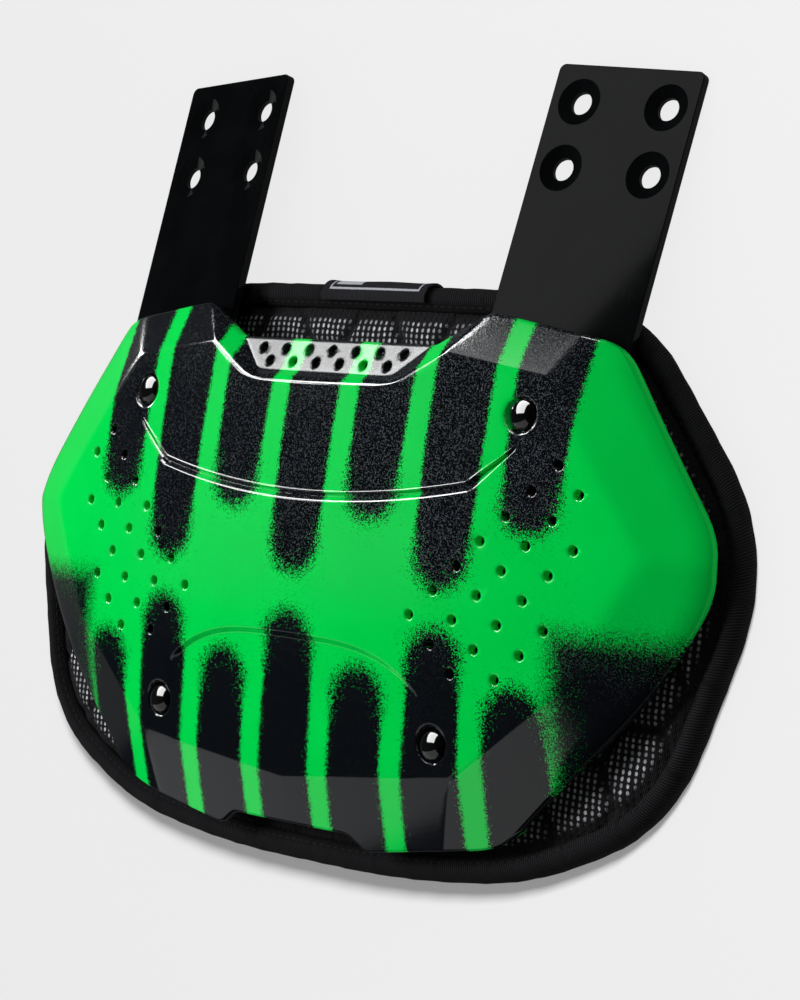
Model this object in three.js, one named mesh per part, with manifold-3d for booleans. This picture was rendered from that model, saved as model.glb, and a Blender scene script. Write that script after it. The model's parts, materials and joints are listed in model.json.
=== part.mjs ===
// Back plate for shoulder pads: a bevelled hard shell and two flat straps on a bound foam pad.
// The plate lies on its back. X runs across it, Y up towards the strap ends, Z away from the floor.
// Every piece is drawn flat in the plate's own plane and the whole plate is then tipped to rest on the floor.

import * as THREE from "three";
import { mergeVertices } from "three/addons/utils/BufferGeometryUtils.js";
import { ConvexGeometry } from "three/addons/geometries/ConvexGeometry.js";
import Module from "manifold-3d";

const wasm = await Module();
wasm.setup();

// Driving dimensions, in millimetres and degrees

const GAP = 0.3;
const FAR = 60;
const BLOCK = { width: 320, height: 190, columns: 16, rows: 10 };
const ROUND_SIDES = 16;
const BORE_SIDES = 12;

const SHELL = { thickness: 2.6, crown: 13.8, crownY: -17.2, radiusX: 696, radiusY: 502 };
const RECESS = { floorY: 36, floorHalf: 28.5, sideRun: 12, sideRise: 10.5, depth: 2.9, fall: 0.42 };
const RECESS_WALL = { side: 4.6, bottom: 2.3, depth: 3.4 };
const GROOVE = { radius: 1.3, sink: 0.5, midY: -1, kinkX: 65, kinkY: 6, endX: 79, endY: 17.5 };
const GROOVE_STEPS = { along: 20, around: 3 };
const VENT = { radius: 1.4, pitch: 15.8, sides: 8 };
const RECESS_VENT = { radius: 1.5, pitch: 10, upperY: 43, lowerY: 39 };

const DISH = { rim: 6, floor: 4.6, depth: 2.8 };
const RIVET = { headRadius: 4.2, headHeight: 2.9, postRadius: 2.2, postEnd: 3.5 };
const RIVET_SEATS = [
  { name: "upper", x: 79.5, y: 27.6 },
  { name: "lower", x: 58.6, y: -69.9 },
];

const STRAP = { width: 50.8, thickness: 3, tipY: 132.5, footY: 14, cornerRadius: 4, cornerSteps: 4 };
const STRAP_LINE = { x: 82, y: 110.5, z: -20.1, lean: 12.4, toe: 6.6, splay: 2 };
const STRAP_HOLE = { radius: 3.5, across: 30.5, along: 20.7, dishRadius: 7.2, dishDepth: 1.1 };

const PAD = { thickness: 7, nearZ: -9, nearY: -107, climb: 0.034, wrap: 5, wrapX: 150, rows: 8 };
const ROLL = { radius: 3.9, sides: 10, steps: 64, flattened: 0.4 };
const LABEL = { width: 44, thickness: 1, turn: 105, steps: 12 };

// Corners of the right half of each outline, from the bottom up, and how far from each its rounding starts

const SHELL_CORNERS = [
  { x: 24.4, y: -101, setback: 2 },
  { x: 31, y: -105.5, setback: 2 },
  { x: 80, y: -97.5, setback: 10 },
  { x: 127.5, y: -48.5, setback: 22 },
  { x: 147.5, y: -10, setback: 18 },
  { x: 104.5, y: 50, setback: 8 },
  { x: 59.5, y: 57.2, setback: 3 },
  { x: 41, y: 46.5, setback: 2 },
];
const ROLL_CORNERS = [
  { x: 40.2, y: -109.2, setback: 26 },
  { x: 84.7, y: -102.8, setback: 17 },
  { x: 128.5, y: -81.9, setback: 23 },
  { x: 151.7, y: -5.2, setback: 30 },
  { x: 101.6, y: 55.8, setback: 18 },
  { x: 62.1, y: 61.4, setback: 16 },
];

// Crease lines of the right half: the shell falls away beyond each by its own slope

const FACETS = [
  { name: "tab", x0: 46.5, y0: 44.6, x1: 86.6, y1: 38.9, fall: 0.3 },
  { name: "wing", x0: 86.6, y0: 38.9, x1: 124.2, y1: -10.1, fall: 0.31 },
  { name: "flank", x0: 124.2, y0: -10.1, x1: 104.5, y1: -46, fall: 0.27 },
  { name: "hip", x0: 104.5, y0: -46, x1: 66.3, y1: -79, fall: 0.24 },
  { name: "hem", x0: 66.3, y0: -79, x1: 0, y1: -87, fall: 0.15 },
];

// Rows of the right-hand group of vents, from the top down

const VENT_ROWS = [
  { y: 14.1, x: 94.9, count: 1 },
  { y: 6.2, x: 87, count: 2 },
  { y: -1.7, x: 79.2, count: 2 },
  { y: -9.5, x: 71.4, count: 3 },
  { y: -17.3, x: 64, count: 3 },
  { y: -25.1, x: 56.2, count: 3 },
  { y: -32.9, x: 48.2, count: 4 },
  { y: -40.7, x: 56.6, count: 3 },
  { y: -48.5, x: 64.5, count: 2 },
];

// Solids and their meshes

function toSolid(geometry) {
  const bare = geometry.index ? geometry.toNonIndexed() : geometry.clone();
  bare.deleteAttribute("normal");
  bare.deleteAttribute("uv");
  const merged = mergeVertices(bare, 1e-4);
  return new wasm.Manifold(new wasm.Mesh({
    numProp: 3,
    vertProperties: Float32Array.from(merged.attributes.position.array),
    triVerts: Uint32Array.from(merged.index.array),
  }));
}

function toGeometry(solid) {
  const mesh = solid.getMesh();
  const geometry = new THREE.BufferGeometry();
  geometry.setAttribute("position", new THREE.BufferAttribute(mesh.vertProperties, 3));
  geometry.setIndex(new THREE.BufferAttribute(mesh.triVerts, 1));
  geometry.computeVertexNormals();
  return geometry;
}

function eachVertex(geometry, move) {
  const position = geometry.attributes.position;
  const point = new THREE.Vector3();
  for (let i = 0; i < position.count; i += 1) {
    point.fromBufferAttribute(position, i);
    move(point);
    position.setXYZ(i, point.x, point.y, point.z);
  }
  return geometry;
}

// A closed outline from the corners of its right half, mirrored to the left, running anticlockwise

function roundedOutline(rightCorners) {
  const left = rightCorners.map((corner) => ({ ...corner, x: -corner.x })).reverse();
  const corners = [...rightCorners, ...left].map(({ x, y, setback }) => (
    { at: new THREE.Vector2(x, y), setback }
  ));
  const outline = new THREE.Shape();
  corners.forEach(({ at, setback }, i) => {
    const before = corners.at(i - 1).at;
    const after = corners[(i + 1) % corners.length].at;
    const start = at.clone().add(before.clone().sub(at).setLength(setback));
    const end = at.clone().add(after.clone().sub(at).setLength(setback));
    if (i === 0) outline.moveTo(start.x, start.y);
    else outline.lineTo(start.x, start.y);
    outline.quadraticCurveTo(at.x, at.y, end.x, end.y);
  });
  outline.closePath();
  return outline;
}

function prism(shape, bottom, top, curveSegments = 5) {
  const depth = top - bottom;
  const geometry = new THREE.ExtrudeGeometry(shape, { depth, bevelEnabled: false, curveSegments });
  return toSolid(geometry.translate(0, 0, bottom));
}

function upright(radiusTop, radiusBottom, bottom, top, x, y, sides) {
  const geometry = new THREE.CylinderGeometry(radiusTop, radiusBottom, top - bottom, sides);
  geometry.rotateX(Math.PI / 2);
  return toSolid(geometry.translate(x, y, (top + bottom) / 2));
}

// Shell

function fieldHeight(x, y) {
  const rise = SHELL.crown - x * x / (2 * SHELL.radiusX);
  return rise - (y - SHELL.crownY) ** 2 / (2 * SHELL.radiusY);
}

// A block under the domed field, lowered by a slope that grows outwards from one crease line

function crownBlock(drop) {
  const geometry = new THREE.BoxGeometry(BLOCK.width, BLOCK.height, FAR, BLOCK.columns, BLOCK.rows, 1);
  return toSolid(eachVertex(geometry, (point) => {
    point.y += SHELL.crownY;
    point.z = point.z > 0 ? fieldHeight(point.x, point.y) - drop(point.x, point.y) : -FAR;
  }));
}

function facetDrop({ x0, y0, x1, y1, fall }, side) {
  const length = Math.hypot(x1 - x0, y1 - y0);
  const outX = (y0 - y1) / length;
  const outY = (x1 - x0) / length;
  return (x, y) => fall * ((side * x - x0) * outX + (y - y0) * outY);
}

function recessFloor(y) {
  return fieldHeight(0, RECESS.floorY) - RECESS.depth - RECESS.fall * (y - RECESS.floorY);
}

function recessPocket() {
  const runs = (FAR - RECESS.floorY) / RECESS.sideRise;
  const topHalf = RECESS.floorHalf + RECESS.sideRun * runs;
  const times = 3;
  const rise = times * RECESS_WALL.depth;
  const flare = times * RECESS_WALL.side;
  const drop = times * RECESS_WALL.bottom;
  const low = recessFloor(RECESS.floorY);
  const high = recessFloor(FAR);
  const points = [-1, 1].flatMap((side) => [
    new THREE.Vector3(side * RECESS.floorHalf, RECESS.floorY, low),
    new THREE.Vector3(side * topHalf, FAR, high),
    new THREE.Vector3(side * (RECESS.floorHalf + flare), RECESS.floorY - drop, low + rise),
    new THREE.Vector3(side * (topHalf + flare), FAR, high + rise),
  ]);
  return toSolid(new ConvexGeometry(points));
}

function dishFloor({ x, y }) {
  return fieldHeight(x, y) - DISH.depth;
}

function dish(seat, side) {
  const floor = dishFloor(seat);
  const rimRadius = 2 * DISH.rim - DISH.floor;
  return upright(rimRadius, DISH.floor, floor, floor + 2 * DISH.depth, side * seat.x, seat.y, ROUND_SIDES);
}

function smileGroove() {
  const rightHalf = [
    new THREE.Vector2(0, GROOVE.midY),
    new THREE.Vector2(GROOVE.kinkX / 2, GROOVE.midY + (GROOVE.kinkY - GROOVE.midY) / 4),
    new THREE.Vector2(GROOVE.kinkX, GROOVE.kinkY),
    new THREE.Vector2(GROOVE.endX, GROOVE.endY),
  ];
  const leftHalf = rightHalf.slice(1).map(({ x, y }) => new THREE.Vector2(-x, y)).reverse();
  const route = [...leftHalf, ...rightHalf].map(({ x, y }) => (
    new THREE.Vector3(x, y, fieldHeight(x, y) + GROOVE.radius - 2 * GROOVE.sink)
  ));
  const section = new THREE.Shape().absarc(0, 0, GROOVE.radius, 0, 2 * Math.PI);
  const path = new THREE.CatmullRomCurve3(route, false, "centripetal");
  const { along: steps, around: curveSegments } = GROOVE_STEPS;
  return toSolid(new THREE.ExtrudeGeometry(section, { steps, extrudePath: path, curveSegments }));
}

function ventPlaces() {
  const places = [];
  for (const side of [-1, 1]) {
    for (const { y, x, count } of VENT_ROWS) {
      for (let i = 0; i < count; i += 1) {
        places.push({ x: side * (x + i * VENT.pitch), y, radius: VENT.radius });
      }
    }
  }
  for (let i = -3; i <= 3; i += 1) {
    places.push({ x: i * RECESS_VENT.pitch, y: RECESS_VENT.upperY, radius: RECESS_VENT.radius });
  }
  for (let i = -2.5; i <= 2.5; i += 1) {
    places.push({ x: i * RECESS_VENT.pitch, y: RECESS_VENT.lowerY, radius: RECESS_VENT.radius });
  }
  return places;
}

function shellSolid() {
  let body = crownBlock(() => 0);
  for (const side of [-1, 1]) {
    for (const facet of FACETS) {
      body = body.intersect(crownBlock(facetDrop(facet, side)));
    }
    for (const seat of RIVET_SEATS) {
      body = body.subtract(dish(seat, side));
    }
  }
  body = body.subtract(recessPocket());
  const skin = body.subtract(body.translate(0, 0, -SHELL.thickness));
  let shell = skin.intersect(prism(roundedOutline(SHELL_CORNERS), -FAR / 2, FAR / 2));
  shell = shell.subtract(smileGroove());
  for (const { x, y, radius } of ventPlaces()) {
    shell = shell.subtract(upright(radius, radius, -FAR / 4, FAR / 2, x, y, VENT.sides));
  }
  for (const side of [-1, 1]) {
    for (const { x, y } of RIVET_SEATS) {
      const bore = RIVET.postRadius + GAP;
      shell = shell.subtract(upright(bore, bore, -FAR / 4, FAR / 2, side * x, y, BORE_SIDES));
    }
  }
  return shell;
}

// Straps

function strapSolid(side) {
  const { width, thickness, cornerRadius } = STRAP;
  const tip = STRAP.tipY - STRAP_LINE.y;
  const foot = STRAP.footY - STRAP_LINE.y;
  const outline = roundedOutline([
    { x: width / 2, y: foot, setback: cornerRadius },
    { x: width / 2, y: tip, setback: cornerRadius },
  ]);
  let strap = prism(outline, -thickness / 2, thickness / 2, STRAP.cornerSteps);
  for (const across of [-1, 1]) {
    for (const along of [-1, 1]) {
      const x = across * STRAP_HOLE.across / 2;
      const y = along * STRAP_HOLE.along / 2;
      const { radius, dishRadius, dishDepth } = STRAP_HOLE;
      const face = thickness / 2;
      strap = strap.subtract(upright(radius, radius, -thickness, thickness, x, y, ROUND_SIDES));
      const flare = 2 * dishRadius - radius;
      strap = strap.subtract(upright(flare, radius, face - dishDepth, face + dishDepth, x, y, ROUND_SIDES));
    }
  }
  const turn = new THREE.Euler(
    THREE.MathUtils.degToRad(-STRAP_LINE.lean),
    THREE.MathUtils.degToRad(side * STRAP_LINE.toe),
    THREE.MathUtils.degToRad(-side * STRAP_LINE.splay),
  );
  const place = new THREE.Matrix4().makeRotationFromEuler(turn);
  place.setPosition(side * STRAP_LINE.x, STRAP_LINE.y, STRAP_LINE.z);
  const placed = toSolid(toGeometry(strap).applyMatrix4(place));
  const { x, y } = RIVET_SEATS[0];
  const bore = RIVET.postRadius + 2 * GAP;
  return placed.subtract(upright(bore, bore, -FAR, FAR, side * x, y, BORE_SIDES));
}

// Rivets

function rivetGeometry(seat, side) {
  const { headRadius, headHeight, postRadius } = RIVET;
  const seatZ = dishFloor(seat) + GAP;
  const endZ = padMiddle(side * seat.x, seat.y) + PAD.thickness / 2 - RIVET.postEnd;
  const profile = [
    new THREE.Vector2(0, endZ),
    new THREE.Vector2(postRadius, endZ),
    new THREE.Vector2(postRadius, seatZ),
    new THREE.Vector2(headRadius, seatZ),
  ];
  const domeSteps = 5;
  for (let i = 1; i < domeSteps; i += 1) {
    const angle = (i / domeSteps) * Math.PI / 2;
    profile.push(new THREE.Vector2(headRadius * Math.cos(angle), seatZ + headHeight * Math.sin(angle)));
  }
  profile.push(new THREE.Vector2(0, seatZ + headHeight));
  const geometry = new THREE.LatheGeometry(profile, ROUND_SIDES);
  geometry.rotateX(Math.PI / 2);
  geometry.translate(side * seat.x, seat.y, 0);
  return toGeometry(toSolid(geometry));
}

// Pad and its bound edge

function padMiddle(x, y) {
  return PAD.nearZ - PAD.wrap * (x / PAD.wrapX) ** 2 - PAD.climb * (y - PAD.nearY);
}

// Points of the roll's middle line, moved in or out by an offset in the plate's plane

function rollLine(offset) {
  const line = roundedOutline(ROLL_CORNERS).getSpacedPoints(ROLL.steps).slice(0, ROLL.steps);
  return line.map((point, i) => {
    const along = line[(i + 1) % ROLL.steps].clone().sub(line.at(i - 1)).normalize();
    return new THREE.Vector2(point.x + offset * along.y, point.y - offset * along.x);
  });
}

function padSolid() {
  const slab = new THREE.BoxGeometry(BLOCK.width, BLOCK.height, PAD.thickness, BLOCK.columns, PAD.rows, 1);
  const body = toSolid(eachVertex(slab, (point) => {
    point.y += SHELL.crownY;
    point.z += padMiddle(point.x, point.y);
  }));
  const outline = new THREE.Shape(rollLine(-ROLL.radius - GAP));
  let pad = body.intersect(prism(outline, -FAR, FAR));
  for (const side of [-1, 1]) {
    for (const { x, y } of RIVET_SEATS) {
      const bore = RIVET.postRadius + GAP;
      const front = padMiddle(x, y) + PAD.thickness / 2;
      pad = pad.subtract(upright(bore, bore, front - RIVET.postEnd - GAP, FAR, side * x, y, BORE_SIDES));
    }
  }
  return pad;
}

// The tip of a strap and the lower flank of the roll carry the plate, and set how far it tips

function restingPlane() {
  const lean = THREE.MathUtils.degToRad(STRAP_LINE.lean);
  const toe = THREE.MathUtils.degToRad(STRAP_LINE.toe);
  const reach = STRAP.tipY - STRAP_LINE.y;
  const tipDrop = reach * Math.sin(lean) + STRAP.thickness / 2 + (STRAP.width / 2) * Math.sin(toe);
  const tip = { y: STRAP_LINE.y + reach * Math.cos(lean), z: STRAP_LINE.z - tipDrop };
  const depths = rollLine(0).map(({ x, y }) => ({ y, z: padMiddle(x, y) - ROLL.radius + ROLL.flattened }));
  const slope = Math.max(...depths.map(({ y, z }) => (tip.z - z) / (tip.y - y)));
  return { tip, slope };
}

function floorSlab() {
  const { tip, slope } = restingPlane();
  const slab = new THREE.BoxGeometry(2 * BLOCK.width, 2 * BLOCK.width, FAR);
  slab.translate(0, 0, -FAR / 2);
  slab.rotateX(Math.atan(slope));
  return toSolid(slab.translate(0, 0, tip.z - slope * tip.y));
}

function bindingSolid() {
  const line = rollLine(0);
  const lineOut = rollLine(1);
  const ring = 100;
  const torus = new THREE.TorusGeometry(ring, ROLL.radius, ROLL.sides, ROLL.steps);
  const step = 2 * Math.PI / ROLL.steps;
  const roll = toSolid(eachVertex(torus, (point) => {
    const turn = Math.round(Math.atan2(point.y, point.x) / step);
    const i = (turn + ROLL.steps) % ROLL.steps;
    const out = Math.hypot(point.x, point.y) - ring;
    const place = line[i].clone().lerp(lineOut[i], out);
    point.set(place.x, place.y, point.z + padMiddle(line[i].x, line[i].y));
  }));
  return roll.subtract(floorSlab());
}

// Label folded over the roll at the middle of the top edge

function labelSolid() {
  const inner = ROLL.radius + GAP;
  const turn = THREE.MathUtils.degToRad(LABEL.turn);
  const middle = Math.PI / 2;
  const section = new THREE.Shape();
  section.absarc(0, 0, inner + LABEL.thickness, middle - turn, middle + turn, false);
  section.absarc(0, 0, inner, middle + turn, middle - turn, true);
  const { width: depth, steps: curveSegments } = LABEL;
  const folded = new THREE.ExtrudeGeometry(section, { depth, bevelEnabled: false, curveSegments });
  folded.translate(0, 0, -LABEL.width / 2);
  folded.rotateY(Math.PI / 2);
  const top = Math.max(...rollLine(0).map(({ y }) => y));
  return toSolid(folded.translate(0, top, padMiddle(0, top)));
}

// The assembled plate, tipped onto its strap ends and the lower flanks of its roll

const plate = new THREE.Group();

function addPiece(name, geometry, color, roughness, metalness = 0) {
  const piece = new THREE.Mesh(geometry, new THREE.MeshStandardMaterial({ color, roughness, metalness }));
  piece.name = name;
  plate.add(piece);
}

addPiece("shell", toGeometry(shellSolid()), 0x07d650, 0.32);
for (const { name: hand, side } of [{ name: "left", side: -1 }, { name: "right", side: 1 }]) {
  addPiece(`strap_${hand}`, toGeometry(strapSolid(side)), 0x0c0c0d, 0.2);
  for (const seat of RIVET_SEATS) {
    addPiece(`rivet_${seat.name}_${hand}`, rivetGeometry(seat, side), 0x0a0a0b, 0.12);
  }
}
addPiece("pad", toGeometry(padSolid()), 0x1b1b1d, 0.85);
addPiece("binding", toGeometry(bindingSolid()), 0x101012, 0.9);
addPiece("label", toGeometry(labelSolid()), 0x17181a, 0.7);

plate.rotation.x = Math.atan(-restingPlane().slope);
const reach = new THREE.Box3().setFromObject(plate, true);
plate.position.y = -(reach.min.y + reach.max.y) / 2;
plate.position.z = -reach.min.z;

const backPlate = new THREE.Group();
backPlate.add(plate);

export default backPlate;
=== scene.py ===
"""The looks of a back plate for shoulder pads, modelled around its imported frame.

The plate lies on its back. Every piece is first drawn flat in the plate's own plane, where x runs across it,
y up towards the strap ends and z out of its front. It is then laid down with the pose that the frame has.
Sizes in the classes are millimetres in that plane, and MM turns them into metres.
"""

import json
import logging
import math
from collections.abc import Callable, Iterator, Sequence
from contextlib import contextmanager
from dataclasses import dataclass, field
from enum import Enum

import bmesh
import bpy
import numpy as np
from mathutils import Matrix, Vector

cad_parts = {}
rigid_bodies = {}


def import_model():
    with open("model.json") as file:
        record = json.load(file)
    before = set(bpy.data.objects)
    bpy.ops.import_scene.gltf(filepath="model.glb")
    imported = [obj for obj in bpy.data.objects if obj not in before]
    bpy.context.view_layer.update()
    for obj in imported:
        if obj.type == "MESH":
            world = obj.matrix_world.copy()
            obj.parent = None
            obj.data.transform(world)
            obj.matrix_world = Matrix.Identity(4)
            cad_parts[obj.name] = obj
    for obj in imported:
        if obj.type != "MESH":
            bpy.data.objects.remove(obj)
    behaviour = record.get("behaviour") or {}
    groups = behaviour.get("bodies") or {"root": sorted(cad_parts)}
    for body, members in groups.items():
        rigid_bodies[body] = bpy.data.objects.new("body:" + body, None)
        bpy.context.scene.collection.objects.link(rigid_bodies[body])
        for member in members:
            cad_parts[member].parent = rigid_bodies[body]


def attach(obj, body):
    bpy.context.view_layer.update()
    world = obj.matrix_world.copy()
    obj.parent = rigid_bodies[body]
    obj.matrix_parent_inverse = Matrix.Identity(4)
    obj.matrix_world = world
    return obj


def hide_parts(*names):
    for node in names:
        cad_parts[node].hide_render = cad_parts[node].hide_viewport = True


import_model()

MM = 0.001
TINY = 1e-9
BODY = "root"
CLOTH_SHEEN = 0.12
log = logging.getLogger("back_plate")


class Slot(Enum):
    """The finishes that the record names."""

    SHELL = "shell_print"
    STRAP = "strap_plastic"
    RIVET = "rivet_plastic"
    PAD = "pad_mesh"
    BINDING = "binding_knit"
    LABEL = "label_weave"


class Hand(Enum):
    """The two mirrored sides, with the sign that x has there."""

    LEFT = -1
    RIGHT = 1


@dataclass(frozen=True)
class Corner:
    """A corner of the right half of an outline, and how far from it the rounding starts."""

    x: float
    y: float
    setback: float


@dataclass(frozen=True)
class PlatePose:
    """How the flat drawing lies on the floor.

    Attributes:
        tilt_deg: turn about the x axis.
        shift_y: slide along the floor.
        shift_z: lift off the floor.
    """

    tilt_deg: float = 3.30216
    shift_y: float = -11.067
    shift_z: float = 21.5924

    def matrix(self) -> Matrix:
        """Returns the matrix from the flat drawing to the frame."""
        turn = Matrix.Rotation(math.radians(self.tilt_deg), 4, "X")
        return Matrix.Translation((0.0, self.shift_y * MM, self.shift_z * MM)) @ turn

    def drawing_location(self) -> Vector:
        """Returns the location that a Mapping node needs to get back to the drawing."""
        return self.matrix().inverted().to_translation()

    def lay(self, piece: bpy.types.Object) -> None:
        """Lays a drawn piece on the floor and keeps its place in its mesh."""
        piece.matrix_world = self.matrix()
        keep_place(piece)


POSE = PlatePose()


# Hand tools


def pick_out(piece: bpy.types.Object) -> None:
    """Makes one piece the only selected and the active one."""
    bpy.ops.object.select_all(action="DESELECT")
    piece.select_set(True)
    bpy.context.view_layer.objects.active = piece


def added(name: str, primitive: Callable[..., set[str]], **sizes: object) -> bpy.types.Object:
    """Adds a primitive with nothing else selected.

    Args:
        name: the new object's name.
        primitive: the operator that adds it.
        sizes: the operator's settings.

    Returns:
        The new object, which is the active one.
    """
    bpy.ops.object.select_all(action="DESELECT")
    primitive(**sizes)
    piece = bpy.context.object
    piece.name = name
    return piece


def keep_place(piece: bpy.types.Object) -> None:
    """Keeps a piece's place, turn and scale in its mesh."""
    pick_out(piece)
    bpy.ops.object.transform_apply(location=True, rotation=True, scale=True)


@contextmanager
def editing(piece: bpy.types.Object) -> Iterator[bmesh.types.BMesh]:
    """Opens a piece in edit mode with nothing selected.

    Args:
        piece: the mesh object to edit.

    Yields:
        The edit mesh, for selecting in code.
    """
    pick_out(piece)
    bpy.ops.object.mode_set(mode="EDIT")
    bpy.ops.mesh.select_all(action="DESELECT")
    yield bmesh.from_edit_mesh(piece.data)
    bpy.ops.object.mode_set(mode="OBJECT")


def select_edges(piece: bpy.types.Object, sheet: bmesh.types.BMesh,
                 test: Callable[[bmesh.types.BMEdge], bool]) -> None:
    """Selects the edges of an open edit mesh that pass a test."""
    bpy.ops.mesh.select_mode(type="EDGE")
    for edge in sheet.edges:
        edge.select_set(test(edge))
    bmesh.update_edit_mesh(piece.data)


def face_outwards(piece: bpy.types.Object) -> None:
    """Turns all the faces of a piece outwards."""
    with editing(piece):
        bpy.ops.mesh.select_all(action="SELECT")
        bpy.ops.mesh.normals_make_consistent(inside=False)


def apply_modifier(piece: bpy.types.Object, kind: str, **settings: object) -> None:
    """Adds one modifier to a piece and applies it.

    Args:
        piece: the mesh object.
        kind: the modifier's type.
        settings: values to set on the modifier.
    """
    pick_out(piece)
    modifier = piece.modifiers.new(kind.title(), kind)
    for name, value in settings.items():
        setattr(modifier, name, value)
    bpy.ops.object.modifier_apply(modifier=modifier.name)


def points_of(piece: bpy.types.Object) -> np.ndarray:
    """Returns the vertices of a piece as rows of x, y and z."""
    flat = np.zeros(len(piece.data.vertices) * 3)
    piece.data.vertices.foreach_get("co", flat)
    return flat.reshape(-1, 3)


def move_points(piece: bpy.types.Object, points: np.ndarray) -> None:
    """Puts the vertices of a piece at new places."""
    piece.data.vertices.foreach_set("co", points.ravel())
    piece.data.update()


def faces_of(piece: bpy.types.Object) -> tuple[np.ndarray, np.ndarray]:
    """Returns the centres and the normals of a piece's faces as rows of x, y and z."""
    size = len(piece.data.polygons) * 3
    centres, normals = np.zeros(size), np.zeros(size)
    piece.data.polygons.foreach_get("center", centres)
    piece.data.polygons.foreach_get("normal", normals)
    return centres.reshape(-1, 3), normals.reshape(-1, 3)


def mark(piece: bpy.types.Object, name: str, values: np.ndarray, domain: str = "POINT") -> None:
    """Stores a value on each vertex or face of a piece, for its finish to read.

    Args:
        piece: the mesh object.
        name: the name that the finish reads.
        values: the values, in the order of the vertices or faces.
        domain: POINT for vertices and FACE for faces.
    """
    attribute = piece.data.attributes.new(name, "FLOAT", domain)
    attribute.data.foreach_set("value", values.astype(np.float32))


def smooth_shade(piece: bpy.types.Object, angle_deg: float | None = None) -> None:
    """Shades a piece smooth, but for edges sharper than an angle where one is given."""
    pick_out(piece)
    if angle_deg is None:
        bpy.ops.object.shade_smooth()
    else:
        bpy.ops.object.shade_smooth_by_angle(angle=math.radians(angle_deg))


def turned(name: str, profile: Sequence[tuple[float, float]], sides: int) -> bpy.types.Object:
    """Turns a round solid: a disc is extruded ring by ring along z.

    Args:
        name: the object's name.
        profile: radius and height of each ring in millimetres, from one end to the other.
        sides: how many sides the rings have.

    Returns:
        The closed solid, standing on the origin.
    """
    radius, height = profile[0]
    piece = added(name, bpy.ops.mesh.primitive_circle_add, vertices=sides, radius=radius * MM,
                  fill_type="NGON", location=(0.0, 0.0, height * MM))
    keep_place(piece)
    with editing(piece):
        bpy.ops.mesh.select_all(action="SELECT")
        for next_radius, next_height in profile[1:]:
            rise = (0.0, 0.0, (next_height - height) * MM)
            bpy.ops.mesh.extrude_region_move(TRANSFORM_OT_translate={"value": rise})
            swell = next_radius / radius
            bpy.ops.transform.resize(value=(swell, swell, 1.0), center_override=(0.0, 0.0, 0.0))
            radius, height = next_radius, next_height
    face_outwards(piece)
    return piece


def copies_at(piece: bpy.types.Object, places: Sequence[tuple[float, float]]) -> bpy.types.Object:
    """Copies a solid to several places and joins the copies.

    Args:
        piece: the solid to copy, which ends up at the first place.
        places: x and y of each copy in millimetres.

    Returns:
        One object that holds all of them.
    """
    made = [piece]
    for _ in places[1:]:
        twin = piece.copy()
        twin.data = piece.data.copy()
        bpy.context.scene.collection.objects.link(twin)
        made.append(twin)
    for one, (x, y) in zip(made, places):
        one.location = (x * MM, y * MM, 0.0)
    pick_out(piece)
    for one in made:
        one.select_set(True)
    bpy.ops.object.join()
    keep_place(piece)
    return piece


def cut_away(piece: bpy.types.Object, cutter: bpy.types.Object) -> None:
    """Cuts one solid out of another and clears the cutter away."""
    apply_modifier(piece, "BOOLEAN", operation="DIFFERENCE", solver="EXACT", object=cutter)
    bpy.data.objects.remove(cutter)


# Outlines


def rounded_outline(right: Sequence[Corner], steps: int = 8) -> np.ndarray:
    """Draws a closed outline from the corners of its right half.

    Args:
        right: corners from the bottom up.
        steps: points along each rounding.

    Returns:
        Rows of x and y in millimetres, anticlockwise.
    """
    left = [Corner(-c.x, c.y, c.setback) for c in reversed(right)]
    corners = [*right, *left]
    spots = [np.array((c.x, c.y)) for c in corners]
    rows = []
    for i, corner in enumerate(corners):
        before, at, after = spots[i - 1], spots[i], spots[(i + 1) % len(spots)]
        start = at + (before - at) * corner.setback / np.linalg.norm(before - at)
        end = at + (after - at) * corner.setback / np.linalg.norm(after - at)
        for t in np.linspace(0.0, 1.0, steps + 1):
            rows.append((1 - t) ** 2 * start + 2 * t * (1 - t) * at + t * t * end)
    return np.array(rows)


def spaced(line: np.ndarray, count: int) -> np.ndarray:
    """Returns count + 1 points at even steps along an open line."""
    run = np.concatenate([[0.0], np.cumsum(np.linalg.norm(np.diff(line, axis=0), axis=1))])
    at = np.linspace(0.0, run[-1], count + 1)
    return np.stack([np.interp(at, run, line[:, i]) for i in range(2)], axis=1)


def grid_ring(outline: np.ndarray, corners: Sequence[tuple[float, float]],
              columns: int, rows: int) -> np.ndarray:
    """Spaces an outline's points so that a grid can fill it.

    Args:
        outline: closed line, anticlockwise.
        corners: lower right, upper right, upper left and lower left corner of the grid.
        columns: steps along the top and the bottom.
        rows: steps along each side.

    Returns:
        Rows of x and y, starting at the lower right corner.
    """
    found = [int(np.argmin(np.linalg.norm(outline - np.array(c), axis=1))) for c in corners]
    parts = []
    for i, count in enumerate((rows, columns, rows, columns)):
        line = np.roll(outline, -found[i], axis=0)
        stretch = line[: (found[(i + 1) % 4] - found[i]) % len(outline) + 1]
        parts.append(spaced(stretch, count)[:-1])
    return np.concatenate(parts)


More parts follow.
